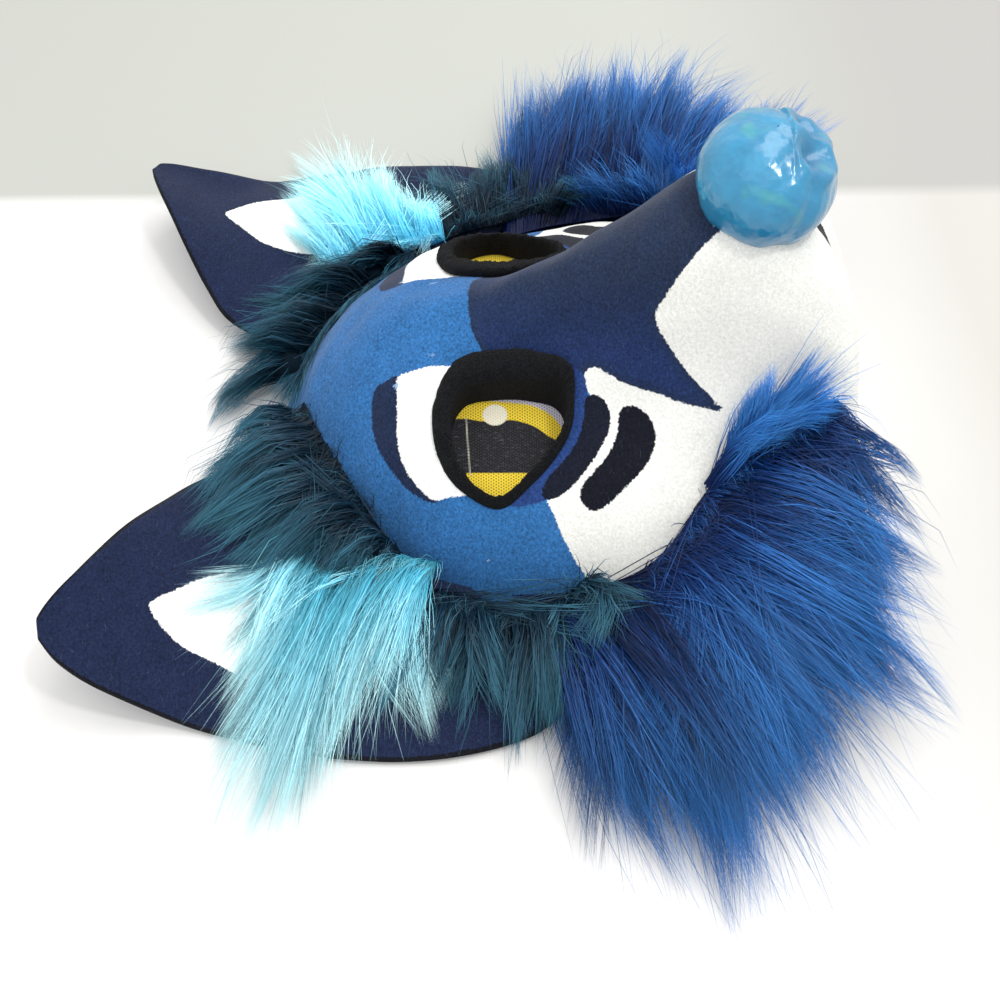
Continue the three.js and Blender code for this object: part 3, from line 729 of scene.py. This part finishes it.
nose_gloss, tree = new_finish("nose_gloss")
place = in_mm(tree)
cloud = noise(tree, place, 0.13, 3.0, 0.6)
grit = noise(tree, place, 1.5, 4.0, 0.7)
nose_colour = mix(tree, cloud, "#1a709c", "#35a0cd")
green_spot = ramp(tree, noise(tree, place, 0.11, 1.0), 9.0, -6.0)
nose_colour = stained(tree, nose_colour, green_spot, 0.45, "#4fae9c")
nose_colour = stained(tree, nose_colour, ramp(tree, grit, 8.0, -5.2), 0.25, "#1f5f8d")
# Painted shade in the nostrils, the creases and the dent.
nose_colour = stained(tree, nose_colour, painted(tree, "hollow_shade"), 0.55, "#174d78")
# Painted shade, darker towards the bottom of the nose.
nose_colour = stained(tree, nose_colour, painted(tree, "low"), 0.55, "#0f5482")
facets = add(tree, "TexVoronoi", {"Vector": place, "Scale": 0.42}).outputs["Distance"]
dimple = calc(tree, "ADD", times(tree, facets, 0.6), times(tree, grit, 0.12))
surface(tree, nose_colour, 0.3, bump(tree, dimple, 0.6, 0.0005),
        {"Coat Weight": 0.8, "Coat Roughness": 0.06, "Specular IOR Level": 0.4})
nose_faces = flipped(net_faces(nose_rings, nose_lanes, joined=True))
make_piece("nose_lump", nose.reshape(-1, 3), [nose_faces], [nose_gloss], ["nose"], nose_values)

# %% [markdown]
# ## Ears
# Each ear is a flat sandwich of felt, cut to a leaf shape, that leans on the table. The table gives its two
# edges from the root to the tip, and how far the middle sags. The sheet's edge is rounded and dark where the
# felt was glued, and the pale triangle is painted. Cells that lie deep inside the face are left out.

# %% Build the ears
ear_thickness = 4
ear_sections = np.array([
    [-22, 80, 2, -116, -12, 0.5, 0], [-29, 101, 5, -130, 4, 0, 0], [-38, 117, 7.5, -137, 31, 0, 1],
    [-50, 126, 13, -137, 60, 0, 1], [-64, 134, 20, -132, 87, 0, 2], [-78, 141, 24, -126, 110, 1.5, 2],
    [-90, 147, 26, -119.5, 133, 13, 2], [-98, 150.5, 26.5, -114, 145, 20, 1],
    [-103, 152, 26, -108, 151, 24.5, 0],
], float)
ear_rows, ear_lanes = 90, 60
ear_across = np.linspace(0, 1, ear_lanes)
round_tip_share = 0.04
edge_power = 14
felt_edge_mm = 1.5
buried_mm = 2.5
close_mm = 3


def ear_net(lift):
    row = table_rows(ear_sections, np.linspace(0, 1, ear_rows))
    across = ear_across[None, :, None]
    flat = row[:, None, 0:3] * (1 - across) + row[:, None, 3:6] * across
    sag = row[:, None, 6] * 4 * ear_across * (1 - ear_across)
    tip_round = np.clip((1 - np.linspace(0, 1, ear_rows)) / round_tip_share, 0, 1)[:, None]
    edge_round = np.sqrt(np.clip(1 - np.abs(2 * ear_across - 1) ** edge_power, 0, 1)) * np.sqrt(tip_round)
    x, y, z = np.moveaxis(flat, -1, 0)
    wrinkle = 0.5 * np.sin(x * 0.12 + y * 0.07) * np.sin(y * 0.11 + 2)
    rise = lift * edge_round + wrinkle * (lift > 0)
    flat[..., 2] = np.maximum(z - sag, 0) + ear_thickness / 2 + rise
    return flat


ear_top, ear_under = ear_net(ear_thickness / 2), ear_net(-ear_thickness / 2)
ear_points = np.concatenate([ear_top.reshape(-1, 3), ear_under.reshape(-1, 3)])
ear_cells = net_faces(ear_rows, ear_lanes)
ear_start = ear_rows * ear_lanes
ear_faces = np.concatenate([ear_cells, flipped(ear_cells) + ear_start])


def inside_face(points):
    flat = flat_face[::3]
    depth = np.empty(len(points))
    for i, point in enumerate(points):
        away = (flat[:, 0] - point[0]) ** 2 + (flat[:, 1] - point[1]) ** 2
        nearest = away.argmin()
        depth[i] = flat[nearest, 2] - point[2] if away[nearest] < close_mm ** 2 else -far_off
    return depth


buried = inside_face(ear_points) > buried_mm
ear_faces = ear_faces[~buried[ear_faces].all(axis=1)]
ear_width = np.linalg.norm(ear_top[:, 0] - ear_top[:, -1], axis=1)[:, None]
ear_edge = (felt_edge_mm - np.minimum(ear_across, 1 - ear_across) * ear_width).ravel()
ear_white = inside_mm(ear_top.reshape(-1, 3), outlines["ear_white"])
ear_values = {"ear_white": np.concatenate([ear_white, np.full(ear_start, no_paint)]),
              "ear_edge": np.tile(ear_edge, 2)}
ear_felt = felt_finish("ear_felt", "#1e2845", [("ear_edge", "#14151b"), ("ear_white", "#fbfbf8")])
make_pair("ear_cover", ear_points, [flipped(ear_faces)], ear_felt, "ear", ear_values)

# %% [markdown]
# ## Ground under the fur
# Long hair lies on whatever is below it. A coarse map of the face, the ears and the table gives the height
# of that ground at every place, so a hair that would sink into the felt is laid on top of it instead.

# %% Height map
map_cell = 1.5
map_half = 240
map_size = int(2 * map_half / map_cell)
ground = np.zeros((map_size, map_size))
for net in (face, ear_top):
    for side in sides:
        spots = on_side(net.reshape(-1, 3), side)
        i, j = ((spots[:, :2] + map_half) / map_cell).astype(int).T
        np.maximum.at(ground, (i, j), spots[:, 2])


def ground_height(points):
    i, j = np.moveaxis(np.clip((points[..., :2] + map_half) / map_cell, 0, map_size - 1).astype(int), -1, 0)
    return ground[i, j]


print("highest ground", round(float(ground.max()), 1), "mm")

# %% [markdown]
# ## Long fur
# Faux fur is a knitted backing with long straight hairs. Static and handling gather the hairs into thin
# strands and the strands into pointed locks. Hair made of curves isn't a mesh, so each hair here is a ribbon
# of a few faces that runs out to a point. Its root lies between two lines of roots and its tip between two
# lines of tips. Towards the tip it leans to its strand, and the strand leans to its lock. A hair that would
# run past the room around the mask is drawn back. A dark undercoat of smooth locks fills the depth below;
# its dark colour is painted shade.

# %% Hair paths
hair_share = 1.0
hair_steps = np.array([0.0, 0.22, 0.48, 0.75, 1.0])
lift_steps = np.interp(hair_steps, [0, 0.2, 0.55, 1], [0, 0.8, 1, 0.45])
strands_in_lock = 6
fur_room = np.array([190.0, 118.0, 120.0])
drawn_back = 0.65
root_pull, tip_pull = 0.55, 0.45


def between_tiers(tiers, s, h, key):
    rows = np.stack([on_curve(tier[key], np.clip(s, 0, 1)) for tier in tiers])
    level = np.clip(h, 0, 1) * (len(tiers) - 1)
    low = np.minimum(level.astype(int), max(len(tiers) - 2, 0))
    high = np.minimum(low + 1, len(tiers) - 1)
    f = (level - low)[:, None]
    pick = np.arange(len(s))
    return rows[low, pick] * (1 - f) + rows[high, pick] * f


def bowed(root, tip, rise, t):
    middle = root * root_pull + tip * tip_pull
    middle[:, 2] += rise * 2
    t = t[None, :, None]
    return (1 - t) ** 2 * root[:, None] + 2 * t * (1 - t) * middle[:, None] + t ** 2 * tip[:, None]


def hair_flow(tiers, s, h, length, sway):
    root = between_tiers(tiers, s, h, "roots")
    tip = root + (between_tiers(tiers, s, h, "tips") - root) * length[:, None] + sway
    rises = np.array([tier["rise"] for tier in tiers], float)
    rise = np.interp(np.clip(h, 0, 1) * (len(tiers) - 1), np.arange(len(tiers)), rises)
    return bowed(root, tip, rise * length, hair_steps)


# %% [markdown]
# ## Ribbons
# A ribbon is a ladder of points with one point at its tip. Each ribbon is rolled a little about its own
# line, so that its neighbours catch the light differently.

# %% Ribbon mesh


def hair_ribbons(paths, widths, roll):
    count, steps = paths.shape[:2]
    run = unit(np.gradient(paths, axis=1))
    across = unit(np.cross(run, roll[:, None, :]))
    half = widths[:, None] * (1 - hair_steps[None, :] ** 2.2) / 2
    left = paths - across * half[..., None]
    right = paths + across * half[..., None]
    rungs = np.stack([left[:, :-1], right[:, :-1]], axis=2).reshape(count, -1, 3)
    points = np.concatenate([rungs, paths[:, -1:]], axis=1)
    size = 2 * (steps - 1) + 1
    base = (np.arange(count) * size)[:, None]
    rung = np.arange(steps - 2) * 2
    quads = np.stack([rung, rung + 1, rung + 3, rung + 2], axis=1).reshape(1, -1, 4) + base[..., None]
    tips = (np.array([size - 3, size - 2, size - 1]) + base).reshape(-1, 3)
    place = np.append(np.repeat(hair_steps[:-1], 2), 1.0)
    return points.reshape(-1, 3), quads.reshape(-1, 4), tips, np.tile(place, count), size


# %% [markdown]
# ## Growing a coat
# One call grows one coat of hair. It draws the locks first, then the strands in them and last the hairs. A
# few hairs are strays: they are longer, follow their lock less and make the soft edge of the fur. One value
# darkens the hairs at the start of the patch, painted shade for the valley there, and bend curls whole
# locks sideways.

# %% Grow a coat
start_shade_share = 0.3


def grow_coat(seed, tiers, hairs, locks, gather=0.9, width=0.28, stray=0.05, wave=1.4, spread=0.035,
              shortest=0.6, edges=(0, 1), tone=0.5, bend=9.0, reach=1.0, start_shade=0.0):
    draw = np.random.default_rng(seed)
    hairs = int(hairs * hair_share)
    strands = locks * strands_in_lock
    lock_s, lock_h = draw.uniform(*edges, locks), draw.random(locks)
    lock_length = reach * draw.normal(0.97, 0.1, locks)
    lock_sway = draw.normal(0, 1, (locks, 3)) * [8, 8, 3]
    lock_bend = bend * np.sin(2 * np.pi * (1.4 * lock_s + 0.5 * lock_h) + seed)
    lock_bend += draw.normal(0, bend * 0.6, locks)
    lock_tone = draw.normal(0, 1, locks)
    strand_lock = draw.integers(0, locks, strands)
    strand_s = lock_s[strand_lock] + draw.normal(0, spread, strands)
    strand_h = lock_h[strand_lock] + draw.normal(0, 0.12, strands)
    strand_sway = draw.normal(0, 1, (strands, 3)) * [3, 3, 1.5]
    strand_tone = draw.normal(0, 1, strands)
    strand = draw.integers(0, strands, hairs)
    lock = strand_lock[strand]
    s = strand_s[strand] + draw.normal(0, spread * 0.4, hairs)
    h = strand_h[strand] + draw.normal(0, 0.06, hairs)
    s = np.where((s < edges[0]) | (s > edges[1]), draw.uniform(*edges, hairs), s)
    h = np.where((h < 0) | (h > 1), draw.random(hairs), h)
    is_stray = draw.random(hairs) < stray
    length = lock_length[lock] * draw.uniform(shortest, 1.03, hairs)
    length = np.where(is_stray, lock_length[lock] * draw.uniform(0.8, 1.2, hairs), length)
    sway = draw.normal(0, 1, (hairs, 3)) * [2.5, 2.5, 1.5] * np.where(is_stray, 3.0, 1.0)[:, None]
    paths = hair_flow(tiers, s, h, length, sway)
    to_strand = hair_flow(tiers, strand_s[strand], strand_h[strand], length, strand_sway[strand])
    to_lock = hair_flow(tiers, lock_s[lock], lock_h[lock], length, lock_sway[lock])
    near = np.where(is_stray, 0.2, draw.uniform(0.55, 0.85, hairs))[:, None] * hair_steps ** 1.1
    far = np.where(is_stray, 0.15, gather * draw.uniform(0.8, 1.05, hairs))[:, None] * hair_steps ** 1.3
    paths += (to_strand - paths) * near[..., None]
    paths += (to_lock - paths) * far[..., None]
    level = np.clip(h, 0, 1) * (len(tiers) - 1)
    half_deep = np.interp(level, np.arange(len(tiers)), [tier["thick"] / 2 for tier in tiers])
    lift = draw.uniform(-0.5, 0.7, locks)[lock] + draw.normal(0, 0.18, hairs)
    paths[..., 2] += (lift * half_deep)[:, None] * lift_steps
    phase = (draw.random(strands) * 2 * np.pi)[strand] + draw.normal(0, 0.3, hairs)
    turns = draw.uniform(2.5, 5.5, strands)[strand][:, None] * hair_steps
    sideways = unit(np.cross(paths[:, -1] - paths[:, 0], [0, 0, 1.0]))
    swing = wave * np.sin(phase[:, None] + turns) * hair_steps
    swing += lock_bend[lock][:, None] * (hair_steps ** 2 - 0.45 * hair_steps)
    paths += sideways[:, None] * swing[..., None]
    paths[..., 2] += 0.5 * wave * np.cos(phase[:, None] * 1.7 + turns) * hair_steps
    beyond = np.maximum(np.abs(paths) - fur_room, 0) * np.sign(paths)
    paths -= beyond * drawn_back
    clear = draw.uniform(0.3, 2.2, hairs)[:, None] * np.minimum(hair_steps * 3, 1)
    paths[..., 2] = np.maximum(paths[..., 2], ground_height(paths) + clear)
    roll = unit(np.array([-0.35, 0, 1.0]) + draw.normal(0, 0.3, (hairs, 3)))
    points, quads, tips, place, size = hair_ribbons(paths, width * draw.uniform(0.6, 1.4, hairs), roll)
    shade = tone + 0.1 * lock_tone[lock] + 0.08 * strand_tone[strand] + draw.normal(0, 0.06, hairs)
    # Painted shade: hairs near the start of the patch are darker, for the valley there.
    shade -= start_shade * np.clip(1 - s / start_shade_share, 0, 1)
    return points, quads, tips, place, np.repeat(shade, size)


# %% [markdown]
# ## Undercoat
# The undercoat has the locks of the solid, made thinner, shorter and a little lower, with a round section.
# It begins a little way in from the roots and ends about halfway to the tips, so hair covers it.

# %% Build an undercoat
undercoat_shrink = 0.42
undercoat_drop = 4.0
undercoat_span = (0.1, 0.84)
undercoat_start, undercoat_end = 0.1, 0.47


def undercoat(tiers):
    points, faces, start = [], [], 0
    ring = np.linspace(0, 2 * np.pi, 10, endpoint=False)
    t = np.linspace(0, 0.97, 9)
    full = np.sin(np.pi * (0.04 + 0.94 * t) ** 0.75)[:, None, None] * undercoat_shrink / 2
    for tier in tiers:
        place = np.linspace(*undercoat_span, tier["locks"])
        roots, tips = on_curve(tier["roots"], place), on_curve(tier["tips"], place)
        roots, tips = (roots * (1 - share) + tips * share for share in (undercoat_start, undercoat_end))
        for root, tip, line in zip(roots, tips, bowed(roots, tips, tier["rise"] * 0.6, t)):
            across = unit(np.cross(tip - root, [0, 0, 1]))
            up = unit(np.cross(across, np.gradient(line, axis=0)))
            circle = across * tier["width"] * full * np.cos(ring)[None, :, None]
            circle = circle + up[:, None] * tier["thick"] * full * np.sin(ring)[None, :, None]
            lock = line[:, None] + circle - [0, 0, undercoat_drop]
            lock[..., 2] = np.maximum(lock[..., 2], 0.3)
            points.append(lock.reshape(-1, 3))
            faces.append(net_faces(len(t), len(ring), start, joined=True))
            start += len(t) * len(ring)
    return np.concatenate(points), np.concatenate(faces)


# %% [markdown]
# ## Fur finish and piece
# A hair is dark at its root, painted shade of the fur's depth, and pale at its tip, and its tone changes from
# hair to hair. The undercoat is streaked from the root's colour to a darker one, painted shade as well. One
# call dresses a patch on both sides with its undercoat and all its coats. The patches of the two sides were
# brushed differently, so the left one may lean another way; it may also be made a little paler, painted
# light for the far side, which is lit more strongly. Each line of tips leans by one amount at its first tip
# and by another at its last.

# %% Fur finish and piece
no_lean = ((0, 0, 0), (0, 0, 0))
undercoat_tone = 0.4
far_seed = 100


def fur_finish(title, root, body, tip, depth_shade):
    hair, tree = new_finish(title)
    along, tone = painted(tree, "along"), painted(tree, "tone")
    high = calc(tree, "ADD", along, times(tree, tone, 0.5))
    # Painted shade: the root colour is the darkest, for the shade deep in the fur.
    colour = mix(tree, ramp(tree, along, 1.8, -0.08), root, body)
    colour = mix(tree, ramp(tree, high, 1.8, -1.1), colour, tip)
    light = calc(tree, "MAXIMUM", calc(tree, "MULTIPLY_ADD", tone, 1.7, 0.15), 0.12)
    surface(tree, scaled_vector(tree, colour, light), 0.45, None, {"Specular IOR Level": 0.22})
    coat, tree = new_finish(title + "_undercoat")
    streak = noise(tree, stretched(tree, in_mm(tree), (1.0, 0.3, 1.0)), 1.2, 4.0, 0.7)
    # Painted shade: the undercoat runs to a colour darker than the roots.
    surface(tree, mix(tree, streak, depth_shade, root), 0.9, bump(tree, streak, 0.8, 0.001),
            {"Specular IOR Level": 0.1})
    return [hair, coat]


def leaned(tiers, first_lean, last_lean):
    moved = []
    for tier in tiers:
        lean = np.linspace(first_lean, last_lean, len(tier["tips"]))
        moved.append({**tier, "tips": [tuple(tip) for tip in np.array(tier["tips"], float) + lean]})
    return moved


def fur_piece(title, tiers, finishes, coats, far_lean=no_lean, far_light=0.0):
    for side in sides:
        is_far = side == "left"
        lean = far_lean if is_far else no_lean
        body_points, body_faces = undercoat(leaned(tiers, *lean))
        points, quads, tips = [body_points], [body_faces], []
        along, tone = [np.zeros(len(body_points))], [np.full(len(body_points), undercoat_tone)]
        start = len(body_points)
        for coat in coats:
            seed = coat["seed"] + far_seed * is_far
            hair = grow_coat(**{**coat, "seed": seed, "tiers": leaned(coat["tiers"], *lean)})
            coat_points, coat_quads, coat_tips, coat_along, coat_tone = hair
            points.append(coat_points)
            quads.append(coat_quads + start)
            tips.append(coat_tips + start)
            along.append(coat_along)
            # Painted light: the far side's hair is made paler, as it is lit more strongly.
            tone.append(coat_tone + far_light * is_far)
            start += len(coat_points)
        points, quads, tips = np.concatenate(points), np.concatenate(quads), np.concatenate(tips)
        values = {"along": np.concatenate(along), "tone": np.concatenate(tone)}
        finish_of_face = np.zeros(len(quads) + len(tips))
        finish_of_face[:len(body_faces)] = 1
        faces = [on_side_faces(quads, side), on_side_faces(tips, side)]
        make_piece(f"{title}_hair_{side}", on_side(points, side), faces, finishes, [f"{title}_{side}"],
                   values, finish_of_face)


# %% [markdown]
# ## Royal blue cheek fur
# The cheek fur is the largest patch. Its tiers of locks are the solid's: they start on the cheek, fan out
# downwards and to the chin, and the upper ones lie over the lower ones. By the lip a small tuft stands up
# along the muzzle. Short hairs along the top line of roots hide the seam, and a low fringe covers the
# undercoat where it is seen from in front.

# %% Grow the cheek fur
cheek_tiers = [
    dict(locks=7, width=32, thick=20, rise=8,
         roots=[(-84, 10, 8), (-89, -2, 8), (-90, -20, 9), (-90, -40, 10), (-84, -66, 12), (-70, -84, 14)],
         tips=[(-177, -14, 2), (-180, -32, 2), (-187, -52, 2), (-169, -80, 3), (-144, -104, 5),
               (-118, -103, 9)]),
    dict(locks=5, width=34, thick=18, rise=12,
         roots=[(-86, -8, 12), (-88, -24, 14), (-84, -40, 20), (-76, -54, 26), (-66, -70, 31),
                (-50, -90, 34)],
         tips=[(-172, -47, 12), (-164, -72, 15), (-145, -90, 18), (-126, -101, 22), (-104, -109, 27),
               (-84, -114, 34)]),
    dict(locks=4, width=36, thick=15, rise=9,
         roots=[(-86, -26, 15), (-77, -40, 25), (-65, -50, 34), (-54, -62, 42), (-44, -80, 48),
                (-38, -92, 48)],
         tips=[(-144, -68, 30), (-128, -88, 33), (-104, -103, 36), (-82, -112, 42), (-71, -110, 39),
               (-62, -103, 37)]),
]
lip_tiers = [
    dict(thick=12, rise=5,
         roots=[(-66, -52, 34), (-60, -62, 38), (-54, -74, 41)],
         tips=[(-54, -74, 62), (-48, -86, 66), (-46, -97, 66)]),
    dict(thick=8, rise=3,
         roots=[(-63, -50, 39), (-57, -58, 43), (-50, -70, 47)],
         tips=[(-49, -68, 68), (-41, -83, 72), (-36, -97, 71)]),
]


def seam_tiers(tier, length, rise):
    reach = [tuple(np.array(root) + unit(np.array(tip, float) - root) * length)
             for root, tip in zip(tier["roots"], tier["tips"])]
    return [dict(thick=4, rise=rise, roots=tier["roots"], tips=reach)]


fringe_reach = 0.93
low_fringe = [dict(thick=4, rise=2, roots=[(x, y, 4) for x, y, z in cheek_tiers[0]["roots"]],
                   tips=[(x * fringe_reach, y * fringe_reach, 2) for x, y, z in cheek_tiers[0]["tips"]])]
royal_fur = fur_finish("royal_blue_fur", "#061a46", "#0e4088", "#3479c0", "#051334")
cheek_coats = [
    dict(seed=11, tiers=cheek_tiers, hairs=18600, locks=95, shortest=0.62, bend=15.0, wave=2.0,
         reach=0.97, width=0.26, tone=0.46, start_shade=0.16, edges=(0, 0.91)),
    dict(seed=12, tiers=lip_tiers, hairs=2400, locks=14, spread=0.08, bend=3.0, tone=0.62),
    dict(seed=13, tiers=seam_tiers(cheek_tiers[2], 13, 4), hairs=1800, locks=60, gather=0.3, stray=0.15,
         tone=0.4, bend=2.0),
    dict(seed=14, tiers=low_fringe, hairs=2000, locks=36, gather=0.6, spread=0.06, tone=0.42, bend=4.0),
]
fur_piece("cheek_fur", cheek_tiers, royal_fur, cheek_coats,
          far_lean=((-2, 24, 12), (-6, 2, 18)), far_light=0.1)

# %% [markdown]
# ## Teal brow tufts and temple fur
# Darker fur frames the forehead and the temple. The tufts are domed and thick, with their hair falling
# outwards, so they get more rise than the cheek. A second, lower row of roots fills the side of the dome.

# %% Grow the teal fur
brow_tiers = [
    dict(locks=7, width=25, thick=17, rise=13,
         roots=[(-6, 84, 10), (-24, 76, 13), (-44, 64, 14), (-62, 53, 14), (-72, 45, 14)],
         tips=[(-18, 109, 17), (-46, 113, 14), (-70, 101, 11), (-80, 80, 10), (-87, 56, 11)]),
]
brow_low = dict(thick=10, rise=7,
                roots=[(-6, 92, 3), (-26, 86, 5), (-46, 74, 6), (-66, 58, 8), (-76, 48, 9)],
                tips=[(-14, 114, 5), (-48, 117, 4), (-73, 105, 4), (-83, 86, 5), (-90, 62, 8)])
temple_tiers = [
    dict(locks=6, width=22, thick=13, rise=8,
         roots=[(-82, 36, 9), (-87, 22, 10), (-90, 7, 12), (-90, -5, 16), (-87, -13, 21)],
         tips=[(-116, 47, 9), (-128, 30, 7), (-134, 8, 8), (-124, -10, 14), (-92, -30, 29)]),
]
temple_low = dict(thick=8, rise=5,
                  roots=[(-86, 34, 6), (-91, 20, 6), (-93, 6, 7), (-92, -6, 10), (-88, -14, 15)],
                  tips=[(-118, 46, 4), (-132, 28, 3), (-140, 2, 4), (-130, -16, 7), (-104, -30, 20)])
teal_fur = fur_finish("teal_fur", "#071c2a", "#123a52", "#3a7186", "#04121c")
brow_coats = [
    dict(seed=21, tiers=[brow_low] + brow_tiers, hairs=8600, locks=46, wave=1.8, edges=(0.06, 0.9),
         bend=6.0, tone=0.45),
    dict(seed=22, tiers=seam_tiers(brow_tiers[0], 13, 4), hairs=1500, locks=40, gather=0.3, stray=0.3,
         tone=0.38, bend=3.0, edges=(0.06, 1)),
]
temple_coats = [
    dict(seed=31, tiers=[temple_low] + temple_tiers, hairs=5400, locks=34, wave=2.4, bend=9.0, tone=0.44),
    dict(seed=32, tiers=seam_tiers(temple_tiers[0], 12, 3), hairs=1000, locks=30, gather=0.3, stray=0.3,
         tone=0.38, bend=3.0),
]
fur_piece("brow_tuft", brow_tiers, teal_fur, brow_coats,
          far_lean=((26, 2, -5), (26, 2, -5)), far_light=0.1)
fur_piece("temple_fur", temple_tiers, teal_fur, temple_coats)

# %% [markdown]
# ## Pale aqua ear fluff
# The fluff inside each ear is the finest hair. It lies over the ear's felt and hangs off its edge in thin
# pointed locks, and its tips are nearly white. Short hairs hide the seam, and a thin coat of long strays lies
# over the ear.

# %% Grow the ear fluff
fluff_tiers = [
    dict(locks=6, width=26, thick=12, rise=10,
         roots=[(-50, 74, 8), (-61, 65, 10), (-71, 50, 14), (-76, 33, 15)],
         tips=[(-86, 96, 12), (-116, 97, 8), (-152, 90, 3), (-150, 83, 2), (-134, 68, 5), (-112, 46, 10)]),
]
fluff_low = dict(thick=6, rise=6,
                 roots=[(-58, 76, 5), (-67, 67, 6), (-75, 53, 8), (-80, 37, 9)],
                 tips=[(-92, 90, 9), (-118, 93, 6), (-160, 89, 2), (-142, 72, 3), (-122, 44, 6)])
aqua_fur = fur_finish("aqua_fur", "#45a7c4", "#68d2ea", "#bfeaef", "#2b8aa6")
fluff_coats = [
    dict(seed=41, tiers=[fluff_low] + fluff_tiers, hairs=7600, locks=34, width=0.24, stray=0.08, bend=9.0,
         edges=(0.05, 1)),
    dict(seed=43, tiers=seam_tiers(fluff_tiers[0], 16, 4), hairs=700, locks=30, width=0.24, gather=0.3,
         stray=0.08, tone=0.34, bend=2.0),
    dict(seed=42, tiers=[fluff_low], hairs=450, locks=60, width=0.2, stray=1.0, tone=0.66, bend=14.0),
]
fur_piece("ear_fluff", fluff_tiers, aqua_fur, fluff_coats,
          far_lean=((14, 0, -2), (14, 0, -2)), far_light=0.28)

# %% [markdown]
# ## Table and light
# The mask lies on a plain pale surface that is greyer on its far side. Towards the right it is painted
# greyer, painted shade where less light falls. The light is soft and comes from above and from the upper
# right, with a bright surround that keeps the shadows light. A small lamp gives the nose its glints. The
# table and the lamps are placed in metres.

# %% Floor and lights
floor_mesh = bpy.data.meshes.new("floor")
floor_reach = 3
floor_corners = [(x * floor_reach, y * floor_reach, 0) for x, y in ((-1, -1), (1, -1), (1, 1), (-1, 1))]
floor_mesh.from_pydata(floor_corners, [], [(0, 1, 2, 3)])
floor = bpy.data.objects.new("floor", floor_mesh)
bpy.context.scene.collection.objects.link(floor)
floor_pale, tree = new_finish("floor_pale")
place = in_mm(tree)
axes = add(tree, "SeparateXYZ", {0: place}).outputs
far_share = ramp(tree, axes[0], 0.12, -13.9)
# Painted shade: the floor turns greyer towards the right, where less light falls.
right_shade = ramp(tree, axes[1], -0.009, -0.75)
grain = noise(tree, place, 0.05, 3.0)
near_colour = mix(tree, grain, "#eeedec", "#f6f5f4")
near_colour = mix(tree, right_shade, near_colour, "#cdcbc6")
far_colour = mix(tree, right_shade, "#bfc1bb", "#b4b3b0")
floor_colour = mix(tree, far_share, near_colour, far_colour)
surface(tree, floor_colour, 0.6, None, {"Specular IOR Level": 0.2})
floor_mesh.materials.append(floor_pale)


def soft_light(title, place, aim, size, watts, colour):
    data = bpy.data.lights.new(title, "AREA")
    data.size = size
    data.energy = watts
    data.color = colour
    lamp = bpy.data.objects.new(title, data)
    lamp.location = place
    lamp.rotation_euler = (Vector(place) - Vector(aim)).to_track_quat("Z", "Y").to_euler()
    bpy.context.scene.collection.objects.link(lamp)


soft_light("key", (0.42, -0.3, 1.0), (0, 0, 0.03), 0.7, 4.3, (1.0, 0.985, 0.96))
soft_light("sky", (-0.25, 0.35, 1.2), (0, 0, 0), 1.2, 2.5, (0.97, 0.985, 1.0))
soft_light("spark", (-0.12, -0.3, 0.85), (0, -0.07, 0.1), 0.1, 1.7, (1.0, 1.0, 1.0))
world = bpy.data.worlds.new("surround")
world.use_nodes = True
world.node_tree.nodes["Background"].inputs["Color"].default_value = (1.0, 1.0, 0.99, 1)
world.node_tree.nodes["Background"].inputs["Strength"].default_value = 0.9
bpy.context.scene.world = world

# %% [markdown]
# ## Triangles
# The last step prints how many triangles the made pieces have in all.

# %% Count the triangles
print("triangles in all", sum(triangles_made.values()))
